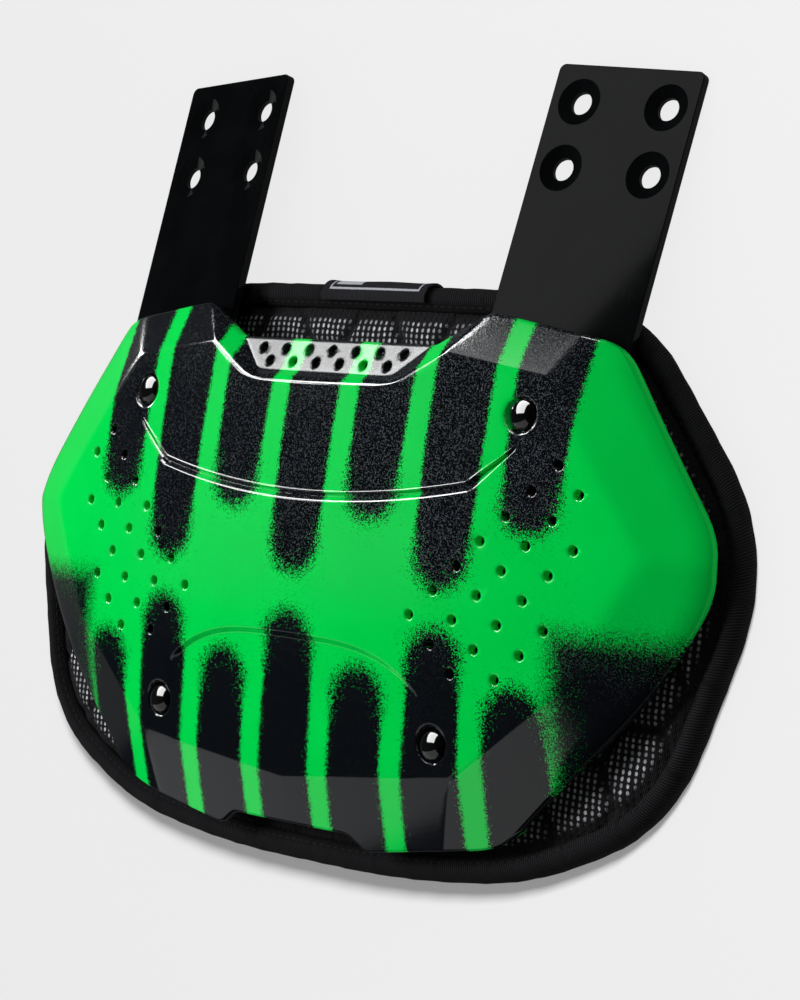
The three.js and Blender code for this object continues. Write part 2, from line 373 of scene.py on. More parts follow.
def filled_sheet(name: str, ring: np.ndarray, rows: int) -> bpy.types.Object:
    """Fills a ring of points with a grid of faces.

    Args:
        name: the object's name.
        ring: rows of x and y in millimetres.
        rows: steps along the first side of the grid.

    Returns:
        A flat sheet in the drawing's plane, facing up.
    """
    sheet = added(name, bpy.ops.mesh.primitive_circle_add, vertices=len(ring), radius=1.0,
                  fill_type="NOTHING")
    move_points(sheet, np.column_stack([ring * MM, np.zeros(len(ring))]))
    with editing(sheet) as mesh:
        bpy.ops.mesh.select_all(action="SELECT")
        mesh.verts.ensure_lookup_table()
        mesh.select_history.add(mesh.verts[0])
        bpy.ops.mesh.fill_grid(span=rows)
    face_outwards(sheet)
    return sheet


def distance_to(line: np.ndarray, x: np.ndarray, y: np.ndarray) -> np.ndarray:
    """Returns how far points are from a closed line, in the line's units."""
    ends = np.roll(line, -1, axis=0)
    nearest = np.full(len(x), np.inf)
    for (ax, ay), (bx, by) in zip(line, ends):
        dx, dy = bx - ax, by - ay
        length = dx * dx + dy * dy
        if length < TINY:
            continue
        t = np.clip(((x - ax) * dx + (y - ay) * dy) / length, 0.0, 1.0)
        nearest = np.minimum(nearest, np.hypot(x - ax - t * dx, y - ay - t * dy))
    return nearest


def closed_length(line: np.ndarray) -> float:
    """Returns the length of a closed line."""
    return float(np.linalg.norm(np.roll(line, -1, axis=0) - line, axis=1).sum())


def directions(line: np.ndarray) -> tuple[np.ndarray, np.ndarray]:
    """Returns the directions along an anticlockwise closed line and out of it, at each of its points."""
    along = np.roll(line, -1, axis=0) - np.roll(line, 1, axis=0)
    along /= np.linalg.norm(along, axis=1, keepdims=True)
    return along, np.column_stack([along[:, 1], -along[:, 0]])


def soft_max(a: np.ndarray, b: np.ndarray, blend: np.ndarray | float) -> np.ndarray:
    """Returns the larger of two heights, with a fillet of about that height where they meet."""
    share = np.clip(0.5 + 0.5 * (a - b) / blend, 0.0, 1.0)
    return b + (a - b) * share + blend * share * (1 - share)


def soft_min(a: np.ndarray, b: np.ndarray, blend: np.ndarray | float) -> np.ndarray:
    """Returns the smaller of two heights, with a fillet where they meet."""
    return -soft_max(-a, -b, blend)


def ease(value: np.ndarray, low: float, high: float) -> np.ndarray:
    """Returns 0 below low and 1 above high, with a smooth step between."""
    t = np.clip((value - low) / (high - low), 0.0, 1.0)
    return t * t * (3 - 2 * t)


# Node graphs


@dataclass(frozen=True)
class Wire:
    """A value in a node graph, with arithmetic that adds Math nodes."""

    graph: "Graph"
    socket: bpy.types.NodeSocket

    def math(self, operation: str, *others: "Wire | float") -> "Wire":
        """Returns the outcome of a Math node on this value and others."""
        node = self.graph.node("ShaderNodeMath", operation=operation)
        for socket, value in zip(node.inputs, (self, *others)):
            self.graph.feed(socket, value)
        return Wire(self.graph, node.outputs[0])

    def __add__(self, other: "Wire | float") -> "Wire":
        """Adds."""
        return self.math("ADD", other)

    def __sub__(self, other: "Wire | float") -> "Wire":
        """Takes away."""
        return self.math("SUBTRACT", other)

    def __mul__(self, other: "Wire | float") -> "Wire":
        """Multiplies."""
        return self.math("MULTIPLY", other)

    def __truediv__(self, other: "Wire | float") -> "Wire":
        """Divides."""
        return self.math("DIVIDE", other)

    def size(self) -> "Wire":
        """Returns the value without its sign."""
        return self.math("ABSOLUTE")

    def rest(self) -> "Wire":
        """Returns what the value leaves of 1."""
        return self * -1.0 + 1.0

    def wave(self) -> "Wire":
        """Returns the sine of the value."""
        return self.math("SINE")

    def low(self, other: "Wire | float") -> "Wire":
        """Returns the smaller of two values."""
        return self.math("MINIMUM", other)

    def high(self, other: "Wire | float") -> "Wire":
        """Returns the larger of two values."""
        return self.math("MAXIMUM", other)

    def step(self, low: float, high: float, start: float = 0.0, end: float = 1.0) -> "Wire":
        """Returns start below low and end above high, with a smooth step between."""
        node = self.graph.node("ShaderNodeMapRange", interpolation_type="SMOOTHSTEP")
        for socket, value in zip(node.inputs, (self, low, high, start, end)):
            self.graph.feed(socket, value)
        return Wire(self.graph, node.outputs[0])


@dataclass
class Graph:
    """A node tree that is drawn by calls that give back wires."""

    tree: bpy.types.NodeTree

    def node(self, kind: str, **settings: object) -> bpy.types.Node:
        """Adds a node of a kind and sets it up."""
        node = self.tree.nodes.new(kind)
        for name, value in settings.items():
            setattr(node, name, value)
        return node

    def feed(self, socket: bpy.types.NodeSocket, value: object) -> None:
        """Links a wire to a socket, or sets a plain value on it."""
        if isinstance(value, Wire):
            self.tree.links.new(value.socket, socket)
        else:
            socket.default_value = value

    def wire(self, kind: str, output: str | int, settings: dict[str, object] | None = None,
             **inputs: object) -> Wire:
        """Adds a node, feeds its named inputs and returns one output.

        Args:
            kind: the node's type.
            output: name or index of the output.
            settings: values to set on the node itself.
            inputs: values or wires for its inputs, with _ for a space in a name.

        Returns:
            The wire from that output.
        """
        node = self.node(kind, **(settings or {}))
        for name, value in inputs.items():
            self.feed(node.inputs[name.replace("_", " ")], value)
        return Wire(self, node.outputs[output])

    def noise(self, vector: Wire, grain: float, detail: float = 2.0) -> Wire:
        """Returns noise whose grains are about that long in the vector's units."""
        return self.wire("ShaderNodeTexNoise", "Fac", Vector=vector, Scale=1.0 / grain, Detail=detail)

    def cells(self, vector: Wire, size: float) -> Wire:
        """Returns how far the nearest cell's middle is, in cells that are about that large."""
        return self.wire("ShaderNodeTexVoronoi", "Distance", Vector=vector, Scale=1.0 / size)

    def cell_luck(self, vector: Wire, size: float, channel: int = 0) -> Wire:
        """Returns a value by chance for each cell, in cells that are about that large."""
        color = self.wire("ShaderNodeTexVoronoi", "Color", Vector=vector, Scale=1.0 / size)
        return self.wire("ShaderNodeSeparateColor", channel, Color=color)

    def mark(self, name: str) -> Wire:
        """Returns the value that the piece's mesh stores under a name."""
        return self.wire("ShaderNodeAttribute", "Fac", {"attribute_name": name})

    def counted(self, vector: Wire, size: Wire) -> Wire:
        """Returns a vector counted in steps of a size."""
        steps = self.wire("ShaderNodeVectorMath", 0, {"operation": "DIVIDE"}, Vector=vector)
        self.feed(steps.socket.node.inputs[1], size)
        return steps

    def blend(self, share: Wire | float, first: object, second: object) -> Wire:
        """Returns a mix of two colours."""
        # A Mix node has sockets for each kind of data: its colours go in at 6 and 7 and come out at 2.
        node = self.node("ShaderNodeMix", data_type="RGBA")
        for index, value in ((0, share), (6, first), (7, second)):
            self.feed(node.inputs[index], value)
        return Wire(self, node.outputs[2])

    def axes(self, vector: Wire) -> tuple[Wire, Wire, Wire]:
        """Returns the three parts of a vector."""
        node = self.node("ShaderNodeSeparateXYZ")
        self.feed(node.inputs[0], vector)
        x, y, z = (Wire(self, socket) for socket in node.outputs)
        return x, y, z

    def vector(self, x: object, y: object, z: object = 0.0) -> Wire:
        """Returns a vector made of three values."""
        return self.wire("ShaderNodeCombineXYZ", 0, X=x, Y=y, Z=z)

    def drawing(self) -> Wire:
        """Returns the place in the flat drawing, in millimetres."""
        place = self.wire("ShaderNodeTexCoord", "Object")
        node = self.node("ShaderNodeMapping")
        self.feed(node.inputs["Vector"], place)
        node.inputs["Rotation"].default_value = (-math.radians(POSE.tilt_deg), 0.0, 0.0)
        node.inputs["Location"].default_value = POSE.drawing_location()
        back = Wire(self, node.outputs[0])
        return self.wire("ShaderNodeVectorMath", 0, {"operation": "SCALE"}, Vector=back, Scale=1.0 / MM)

    def effect(self, group: bpy.types.NodeTree, **inputs: object) -> dict[str, Wire]:
        """Places a shared effect and returns its outputs by name."""
        node = self.node("ShaderNodeGroup", node_tree=group)
        for name, value in inputs.items():
            self.feed(node.inputs[name.replace("_", " ")], value)
        return {socket.name: Wire(self, socket) for socket in node.outputs}

    def relief(self, height: Wire, depth: float, under: Wire | None = None) -> Wire:
        """Returns a bumped normal.

        Args:
            height: the relief, where 1 is the full depth.
            depth: the full depth in millimetres.
            under: a normal that the relief lies on.

        Returns:
            The normal.
        """
        wire = self.wire("ShaderNodeBump", 0, Height=height, Distance=depth * MM, Strength=1.0)
        if under is not None:
            self.feed(wire.socket.node.inputs["Normal"], under)
        return wire


def new_effect(name: str, inputs: Sequence[str], outputs: Sequence[str]) -> tuple[Graph, dict[str, Wire]]:
    """Starts a shared effect as a shader node group.

    Args:
        name: the group's name.
        inputs: names of its inputs: Place is a vector and the others are values.
        outputs: names of its outputs, all of them values.

    Returns:
        The group's graph and its inputs as wires.
    """
    tree = bpy.data.node_groups.new(name, "ShaderNodeTree")
    for label in inputs:
        kind = "NodeSocketVector" if label == "Place" else "NodeSocketFloat"
        tree.interface.new_socket(label, in_out="INPUT", socket_type=kind)
    for label in outputs:
        tree.interface.new_socket(label, in_out="OUTPUT", socket_type="NodeSocketFloat")
    graph = Graph(tree)
    start = graph.node("NodeGroupInput")
    return graph, {label: Wire(graph, start.outputs[label]) for label in inputs}


def close_effect(graph: Graph, **outputs: Wire) -> bpy.types.NodeTree:
    """Wires the outputs of a shared effect and returns the group."""
    end = graph.node("NodeGroupOutput")
    for name, value in outputs.items():
        graph.feed(end.inputs[name], value)
    return graph.tree


@dataclass
class Effects:
    """The effects that several finishes share, each built once."""

    grain: bpy.types.NodeTree = field(init=False)
    spray: bpy.types.NodeTree = field(init=False)
    handling: bpy.types.NodeTree = field(init=False)
    ribs: bpy.types.NodeTree = field(init=False)

    def __post_init__(self) -> None:
        """Builds the four groups."""
        self.grain = self.moulded_grain()
        self.spray = self.spray_edge()
        self.handling = self.handling_marks()
        self.ribs = self.cross_ribs()

    @staticmethod
    def moulded_grain() -> bpy.types.NodeTree:
        """Returns the skin of a moulded part: Height over pebbles of a Size in the units of Place."""
        graph, given = new_effect("moulded_grain", ("Place", "Size"), ("Height",))
        place = graph.counted(given["Place"], given["Size"])
        pebbles = graph.cells(place, 1.0).step(0.0, 0.75)
        fine = graph.noise(place, 0.45, 3.0)
        broad = graph.noise(place, 2.4, 2.0)
        return close_effect(graph, Height=pebbles * 0.35 + fine * 0.4 + broad * 0.45)

    @staticmethod
    def spray_edge() -> bpy.types.NodeTree:
        """Returns a sprayed edge: Paint is 1 where Distance is below 0.

        It breaks up over Spread to both sides, into drops of a Size, and a few stray drops lie beyond.
        """
        graph, given = new_effect("spray_edge", ("Place", "Distance", "Spread", "Size"), ("Paint",))
        place = graph.counted(given["Place"], given["Size"])
        sway = graph.noise(place, 6.0, 3.0) - 0.5
        drops = graph.cell_luck(place, 1.0)
        mist = graph.cell_luck(place, 0.62, channel=1)
        reach = given["Distance"] / given["Spread"] + sway * 1.1
        near = (reach.step(-1.0, 1.0, 1.03, -0.03) - drops).step(-0.03, 0.03)
        stray = (reach.size().step(0.6, 3.0, 0.022, -0.01) - mist).step(-0.004, 0.004)
        return close_effect(graph, Paint=near + stray - near * stray * 2.0)

    @staticmethod
    def handling_marks() -> bpy.types.NodeTree:
        """Returns faint scuffs and dust: Marks is mostly 0, with hairlines along y and a cloudy film."""
        graph, given = new_effect("handling_marks", ("Place",), ("Marks",))
        x, y, z = graph.axes(given["Place"])
        streaks = graph.noise(graph.vector(x * 2.4, y * 0.09, z), 1.0, 3.0).step(0.58, 0.72)
        film = graph.noise(given["Place"], 17.0, 3.0).step(0.35, 0.75)
        specks = graph.cells(given["Place"], 2.3).step(0.05, 0.11, 1.0, 0.0)
        return close_effect(graph, Marks=streaks * 0.45 + film * 0.4 + specks * 0.5)

    @staticmethod
    def cross_ribs() -> bpy.types.NodeTree:
        """Returns knitted or woven ribs: Height, and Shade for painted shade, over a Pitch along u, broken by
        a Loop along v.
        """
        graph, given = new_effect("cross_ribs", ("Place", "Pitch", "Loop"), ("Height", "Shade"))
        u, v, _ = graph.axes(given["Place"])
        sway = graph.noise(given["Place"], 3.0, 2.0) * 0.5
        rib = (u / given["Pitch"] + v * 0.35 + sway) * math.tau
        ridge = rib.wave() * 0.5 + 0.5
        stagger = (u / given["Pitch"]).math("FLOOR") * 0.5
        loop = ((v / given["Loop"] + stagger) * math.tau).wave() * 0.5 + 0.5
        fuzz = graph.noise(given["Place"], 0.35, 3.0)
        height = ridge * 0.6 + ridge * loop * 0.3 + fuzz * 0.25
        # Shade is painted shade and highlight: light on the ridges and dark in the valleys, with some random
        # tone.
        shade = ridge * 0.8 + fuzz * 0.3 + graph.noise(given["Place"], 9.0, 3.0) * 0.3 - 0.1
        return close_effect(graph, Height=height, Shade=shade)


def new_finish(name: str) -> tuple[Graph, bpy.types.Node]:
    """Starts a material and returns its graph and its Principled shader."""
    material = bpy.data.materials.new(name)
    material.use_nodes = True
    graph = Graph(material.node_tree)
    shader = next(n for n in material.node_tree.nodes if n.type == "BSDF_PRINCIPLED")
    return graph, shader


def material_of(graph: Graph) -> bpy.types.Material:
    """Returns the material that a graph belongs to."""
    return next(m for m in bpy.data.materials if m.node_tree == graph.tree)


@dataclass(frozen=True)
class ShellFinish:
    """Bright moulded plastic with dark sprayed bars.

    Attributes:
        green, deep_green: colours of the plastic, which drift into each other.
        cloud: length of that drift.
        dark: colour of the sprayed paint.
        pitch: step from bar to bar.
        half: half the width of a bar at its rounded end.
        widen: how much the half width grows along a bar.
        upper_long, upper_short: where the hanging bars end.
        lower_long, lower_short: where the standing bars end.
        bars_to: how far out the bars reach.
        wing_fade: height at which the wings turn dark.
        bar_spread, tip_spread: reach of the spray along a bar and round its end.
        tip_run: how far past a bar's end the one turns into the other.
        drop: size of the drops.
        wing_spread, wing_drop: reach of the spray and size of the drops on the wings.
        fleck, glint_color: size and colour of the pale specks in the paint, a painted glint of light on its
            grain.
        glint_luck: share of the paint that has no painted glints.
        glint_patch: length of the patches that the painted glints come in.
        glint_y, glint_x: where the painted glints come up, from dim to bright towards the light.
        pebble, grain_depth: size and depth of the moulded grain.
        grain_y: where the grain comes up, from smooth to rough.
        roughness: roughness of a polished lip.
        scuffed, pocket_dull: how much handling and grain dull it, and how much duller the recess is.
    """

    green: tuple[float, ...] = (0.0, 0.68, 0.075, 1.0)
    deep_green: tuple[float, ...] = (0.0, 0.56, 0.055, 1.0)
    cloud: float = 22.0
    dark: tuple[float, ...] = (0.0035, 0.0045, 0.0062, 1.0)
    pitch: float = 29.0
    half: float = 10.2
    widen: float = 0.012
    upper_long: float = -15.0
    upper_short: float = 3.0
    lower_long: float = -46.0
    lower_short: float = -60.0
    bars_to: float = 98.0
    wing_fade: float = -33.0
    bar_spread: float = 1.1
    tip_spread: float = 4.0
    tip_run: tuple[float, float] = (-14.0, 6.0)
    drop: float = 0.26
    wing_spread: float = 6.0
    wing_drop: float = 0.15
    glint: float = 0.29
    glint_color: tuple[float, ...] = (0.088, 0.099, 0.11, 1.0)
    glint_luck: float = 0.68
    glint_patch: float = 9.0
    glint_y: tuple[float, float] = (-58.0, -8.0)
    glint_x: tuple[float, float] = (-90.0, 80.0)
    pebble: float = 0.62
    grain_depth: float = 0.028
    grain_y: tuple[float, float] = (-50.0, 20.0)
    roughness: float = 0.085
    scuffed: float = 0.02
    pocket_dull: float = 0.2

    def material(self, effects: Effects) -> bpy.types.Material:
        """Mixes the finish.

        Args:
            effects: the shared effects.

        Returns:
            The material.
        """
        graph, shader = new_finish("shell_print")
        place = graph.drawing()
        x, y, _ = graph.axes(place)
        flat = graph.vector(x, y)
        paint = self.painted(graph, effects, flat, x, y) * graph.mark("bare").rest()
        clouds = graph.noise(flat, self.cloud, 3.0)
        green = graph.blend(clouds.step(0.3, 0.7, 0.0, 0.25), self.green, self.deep_green)
        # Painted glints: pale specks in the paint stand in for light glinting on the grain, in patches and
        # brighter towards the light.
        patchy = graph.noise(flat, self.glint_patch).step(0.3, 0.7, 0.6, 1.0)
        towards_light = y.step(*self.glint_y, 0.06, 1.0) * x.step(*self.glint_x, 0.35, 1.0)
        glint = graph.cell_luck(flat, self.glint).step(self.glint_luck, 1.0) * towards_light * patchy
        dark = graph.blend(glint, self.dark, self.glint_color)
        graph.feed(shader.inputs["Base Color"], graph.blend(paint, green, dark))
        marks = graph.effect(effects.handling, Place=place)["Marks"]
        grain = graph.effect(effects.grain, Place=place, Size=self.pebble)["Height"]
        rough_skin = y.step(*self.grain_y, 0.2, 1.0) * (graph.mark("lip") * -0.9 + 1.0)
        dull = marks * self.scuffed + rough_skin * self.scuffed + graph.mark("pocket") * self.pocket_dull
        graph.feed(shader.inputs["Roughness"], dull + self.roughness)
        graph.feed(shader.inputs["Normal"], graph.relief(grain * rough_skin, self.grain_depth))
        shader.inputs["IOR"].default_value = 1.5
        return material_of(graph)

    def painted(self, graph: Graph, effects: Effects, flat: Wire, x: Wire, y: Wire) -> Wire:
        """Returns where the dark paint lies.

        Args:
            graph: the material's graph.
            effects: the shared effects.
            flat: the place on the drawing.
            x: its part across the plate.
            y: its part up the plate.

        Returns:
            1 on paint and 0 on bare plastic.
        """
        column = (x / self.pitch + 0.5).math("FLOOR")
        across = (x - column * self.pitch).size()
        odd = column.math("FLOORED_MODULO", 2.0)
        upper_end = odd * (self.upper_short - self.upper_long) + self.upper_long
        lower_end = odd * (self.lower_short - self.lower_long) + self.lower_long
        upper = self.bar(across, upper_end - y)
        lower = self.bar(across, y - lower_end)
        bars = upper.low(lower).high(x.size() - self.bars_to)
        past_end = (upper_end - y).low(y - lower_end)
        spread = past_end.step(*self.tip_run, self.bar_spread, self.tip_spread)
        wing = (y - self.wing_fade).high(x.size() * -1.0 + self.bars_to)
        sprays = ((bars, spread, self.drop), (wing, self.wing_spread, self.wing_drop))
        barred, faded = (
            graph.effect(effects.spray, Place=flat, Distance=distance, Spread=reach, Size=drop)["Paint"]
            for distance, reach, drop in sprays)
        return barred.high(faded)

    def bar(self, across: Wire, past_end: Wire) -> Wire:
        """Returns the distance to a round-ended bar.

        Args:
            across: distance from the bar's middle line.
            past_end: distance beyond the bar's end, below 0 along the bar.

        Returns:
            The distance, below 0 inside the bar.
        """
        beyond = past_end.high(0.0)
        along = past_end.low(0.0) * -1.0
        reach = (across * across + beyond * beyond).math("SQRT")
        return reach - along * self.widen - self.half


@dataclass(frozen=True)
class GlossFinish:
    """Smooth black plastic.

    Attributes:
        name: the material's name.
        color: colour under the gloss.
        roughness: roughness of a clean surface.
        scuffed: how much handling dulls it.
        ripple: depth of the slow waves in the surface.
        ripple_size: length of those waves.
        pale, haze: how a full mark lightens the colour, by a factor and by an added grey.
        covered: how much of that the marks show.
    """

    name: str
    color: tuple[float, ...]
    roughness: float
    scuffed: float
    ripple: float
    ripple_size: float
    pale: float = 2.2
    haze: float = 0.002
    covered: float = 0.6

    def material(self, effects: Effects) -> bpy.types.Material:
        """Mixes the finish from the shared effects and returns it."""
        graph, shader = new_finish(self.name)
        place = graph.drawing()
        marks = graph.effect(effects.handling, Place=place)["Marks"]
        lighter = tuple(min(1.0, part * self.pale + self.haze) for part in self.color[:3]) + (1.0,)
        graph.feed(shader.inputs["Base Color"], graph.blend(marks * self.covered, self.color, lighter))
        graph.feed(shader.inputs["Roughness"], marks * self.scuffed + self.roughness)
        skin = graph.effect(effects.grain, Place=place, Size=self.ripple_size)["Height"]
        graph.feed(shader.inputs["Normal"], graph.relief(skin, self.ripple))
        return material_of(graph)


@dataclass(frozen=True)
class PadFinish:
    """Black spacer mesh whose open dots show pale foam.

    Attributes:
        cloth, raised: colours of the mesh's valleys and threads, darker in the valleys as painted shade and
            lighter on the threads as painted highlight.
        dot: colour of the foam in the dots.
        pitch_x, pitch_y: steps of the dots.
        radius: half the width of a dot.
        stretch: how much longer than wide a dot is.
        soft: half the width of a dot's edge.
        fray: how far that edge wanders.
        sway, sway_size: how far the rows wander, and over what length.
        thread_pitch, thread_loop: steps of the threads and of the loops in a thread.
        depth: depth of the dots.
    """

    cloth: tuple[float, ...] = (0.0035, 0.0035, 0.0038, 1.0)
    lit_ridge: tuple[float, ...] = (0.024, 0.024, 0.026, 1.0)
    dot: tuple[float, ...] = (0.56, 0.57, 0.6, 1.0)
    pitch_x: float = 2.25
    pitch_y: float = 1.85
    radius: float = 0.5
    stretch: float = 1.25
    soft: float = 0.16
    fray: float = 0.36
    sway: float = 1.6
    sway_size: float = 14.0
    thread_pitch: float = 0.52
    thread_loop: float = 0.6
    depth: float = 0.35

    def material(self, effects: Effects) -> bpy.types.Material:
        """Mixes the finish from the shared effects and returns it."""
        graph, shader = new_finish("pad_mesh")
        place = graph.drawing()
        x, y, _ = graph.axes(place)
        sway = graph.noise(place, self.sway_size) * self.sway
        column, line = (x + sway) / self.pitch_x, (y + sway) / self.pitch_y
        dx = (column.math("FRACT") - 0.5) * self.pitch_x
        dy = (line.math("FRACT") - 0.5) * self.pitch_y
        ragged = graph.noise(place, self.radius) * self.fray - self.fray / 2
        long = dy / self.stretch
        reach = (dx * dx + long * long).math("SQRT") + ragged
        open_dot = reach.step(self.radius - self.soft, self.radius + self.soft, 1.0, 0.0)
        cell = graph.vector(column.math("FLOOR"), line.math("FLOOR"))
        luck = graph.wire("ShaderNodeTexWhiteNoise", "Value", Vector=cell)
        # The seam mark leaves the cloth dark along the sewn channels and, as painted shade, along the border
        # beside the roll.
        shown = open_dot * luck.step(0.0, 1.0, 0.45, 1.0) * graph.mark("seam").rest()
        threads = graph.effect(effects.ribs, Place=place, Pitch=self.thread_pitch, Loop=self.thread_loop)
        # Painted shade and highlight: the valleys darker and the threads lighter, as light would fall on
        # them.
        cloth = graph.blend(threads["Shade"], self.cloth, self.lit_ridge)
        graph.feed(shader.inputs["Base Color"], graph.blend(shown, cloth, self.dot))
        graph.feed(shader.inputs["Roughness"], threads["Shade"] * 0.2 + 0.7)
        sunk = threads["Height"] * 0.3 - open_dot * 0.8
        graph.feed(shader.inputs["Normal"], graph.relief(sunk, self.depth))
        shader.inputs["Specular IOR Level"].default_value = CLOTH_SHEEN
        return material_of(graph)


@dataclass(frozen=True)
class KnitFinish:
    """Matte ribbed cloth on a piece's own UV map.

    Attributes:
        name: the material's name.
        color, raised: colours of the valleys and the ribs, darker in the valleys as painted shade and lighter
            on the ribs as painted highlight.
        length, girth: size of the UV map's square in millimetres.
        pitch, loop: steps of the ribs and of the loops in a rib.
        depth: depth of the ribs.
    """

    name: str
    color: tuple[float, ...]
    lit_ridge: tuple[float, ...]
    length: float
    girth: float
    pitch: float
    loop: float
    depth: float

    def cloth(self, effects: Effects) -> tuple[Graph, bpy.types.Node, Wire, Wire, Wire]:
        """Mixes the ribbed cloth.

        Args:
            effects: the shared effects.

        Returns:
            The graph, its shader, the cloth's colour, and the places along and round it in millimetres.
        """
        graph, shader = new_finish(self.name)
        u, v, _ = graph.axes(graph.wire("ShaderNodeTexCoord", "UV"))
        along, around = u * self.length, v * self.girth
        place = graph.vector(along, around)
        ribs = graph.effect(effects.ribs, Place=place, Pitch=self.pitch, Loop=self.loop)
        # Painted shade and highlight: the valleys darker and the ridges lighter, as light would fall on them.
        color = graph.blend(ribs["Shade"], self.color, self.lit_ridge)
        graph.feed(shader.inputs["Roughness"], ribs["Shade"] * 0.15 + 0.78)
        graph.feed(shader.inputs["Normal"], graph.relief(ribs["Height"], self.depth))
        shader.inputs["Specular IOR Level"].default_value = CLOTH_SHEEN
        return graph, shader, color, along, around

    def material(self, effects: Effects) -> bpy.types.Material:
        """Mixes the plain cloth and returns it."""
        graph, shader, color, _, _ = self.cloth(effects)
        graph.feed(shader.inputs["Base Color"], color)
        return material_of(graph)


@dataclass(frozen=True)
class LabelFinish(KnitFinish):
    """Woven label with a plain pale frame and a pale panel at its left end.

    Attributes:
        frame_in: how far the frame stands in from the edges.
        frame_line: half the width of its line.
        panel_to: how far along the label the panel reaches.
        panel_in: how far the panel stands in from the frame.
        fray: how far the edges of the lines wander.
        thread: colour of the frame and the panel.
        cover: how much of the cloth the thread hides.
    """

    frame_in: float = 3.2
    frame_line: float = 0.3
    panel_to: float = 15.5
    panel_in: float = 1.4
    fray: float = 0.3
    thread: tuple[float, ...] = (0.5, 0.51, 0.55, 1.0)
    cover: float = 0.85

    def material(self, effects: Effects) -> bpy.types.Material:
        """Mixes the cloth with its frame and returns it."""
        graph, shader, color, along, around = self.cloth(effects)
        from_end = (along - self.length / 2).size() * -1.0 + self.length / 2
        from_side = (around - self.girth / 2).size() * -1.0 + self.girth / 2
        inside = from_end.low(from_side) - self.frame_in
        panel = (along - self.panel_to).high(inside * -1.0 + self.panel_in)
        ragged = graph.noise(graph.vector(along, around), self.fray * 2) * self.fray
        nearest = inside.size().low(panel + self.frame_line)
        drawn = (nearest + ragged).step(self.frame_line, self.frame_line + self.fray, 1.0, 0.0)
        graph.feed(shader.inputs["Base Color"], graph.blend(drawn * self.cover, color, self.thread))
        return material_of(graph)


# Pieces


def hand_over(piece: bpy.types.Object, slot: Slot, material: bpy.types.Material, *nodes: str) -> None:
    """Gives a finished piece its material and its place in the frame.

    Args:
        piece: the finished piece, laid on the floor.
        slot: the record's finish; not used.
        material: the material that dresses it.
        nodes: the frame's nodes that it stands for.
    """
    piece.data.materials.clear()
    piece.data.materials.append(material)
    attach(piece, BODY)
    if nodes:
        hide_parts(*nodes)
    log.info("%s: %d faces", piece.name, len(piece.data.polygons))


@dataclass(frozen=True)
class Facet:
    """A crease of the right half, beyond which the shell falls away by a slope, with a rounding in height."""

    x0: float
    y0: float
    x1: float
    y1: float
    fall: float
    blend: float

    def drop(self, x: np.ndarray, y: np.ndarray) -> np.ndarray:
        """Returns how far the shell lies below its field, below 0 inside the crease."""
        length = math.hypot(self.x1 - self.x0, self.y1 - self.y0)
        out_x, out_y = (self.y0 - self.y1) / length, (self.x1 - self.x0) / length
        return self.fall * ((np.abs(x) - self.x0) * out_x + (y - self.y0) * out_y)

    def distance(self, x: np.ndarray, y: np.ndarray) -> np.ndarray:
        """Returns how far points are from the crease."""
        dx, dy = self.x1 - self.x0, self.y1 - self.y0
        t = np.clip(((np.abs(x) - self.x0) * dx + (y - self.y0) * dy) / (dx * dx + dy * dy), 0.0, 1.0)
        return np.hypot(np.abs(x) - self.x0 - t * dx, y - self.y0 - t * dy)


SHELL_CORNERS = (
    Corner(24.4, -101.0, 2.0),
    Corner(31.0, -105.5, 2.0),
    Corner(80.0, -97.5, 10.0),
    Corner(127.5, -48.5, 22.0),
    Corner(147.5, -10.0, 18.0),
    Corner(104.5, 50.0, 8.0),
    Corner(59.5, 57.2, 3.0),
    Corner(41.0, 46.5, 2.0),
)
ROLL_CORNERS = (
    Corner(40.2, -109.2, 26.0),
    Corner(84.7, -102.8, 17.0),
    Corner(128.5, -81.9, 23.0),
    Corner(151.7, -5.2, 30.0),
    Corner(101.6, 55.8, 18.0),
    Corner(62.1, 61.4, 16.0),
)
FACETS = (
    Facet(46.5, 44.6, 86.6, 38.9, 0.30, 0.22),
    Facet(86.6, 38.9, 124.2, -10.1, 0.31, 0.5),
    Facet(124.2, -10.1, 104.5, -46.0, 0.27, 0.4),
    Facet(104.5, -46.0, 66.3, -79.0, 0.24, 0.3),
    Facet(66.3, -79.0, 0.0, -87.0, 0.15, 0.14),
)
RIVET_SEATS = {"upper": (79.5, 27.6), "lower": (58.6, -69.9)}


@dataclass(frozen=True)
class VentRow:
    """A row of vents in the right half: its height, its innermost vent and how many it has."""

    y: float
    inner_x: float
    count: int


VENT_ROWS = (
    VentRow(14.1, 94.9, 1),
    VentRow(6.2, 87.0, 2),
    VentRow(-1.7, 79.2, 2),
    VentRow(-9.5, 71.4, 3),
    VentRow(-17.3, 64.0, 3),
    VentRow(-25.1, 56.2, 3),
    VentRow(-32.9, 48.2, 4),
    VentRow(-40.7, 56.6, 3),
    VentRow(-48.5, 64.5, 2),
)


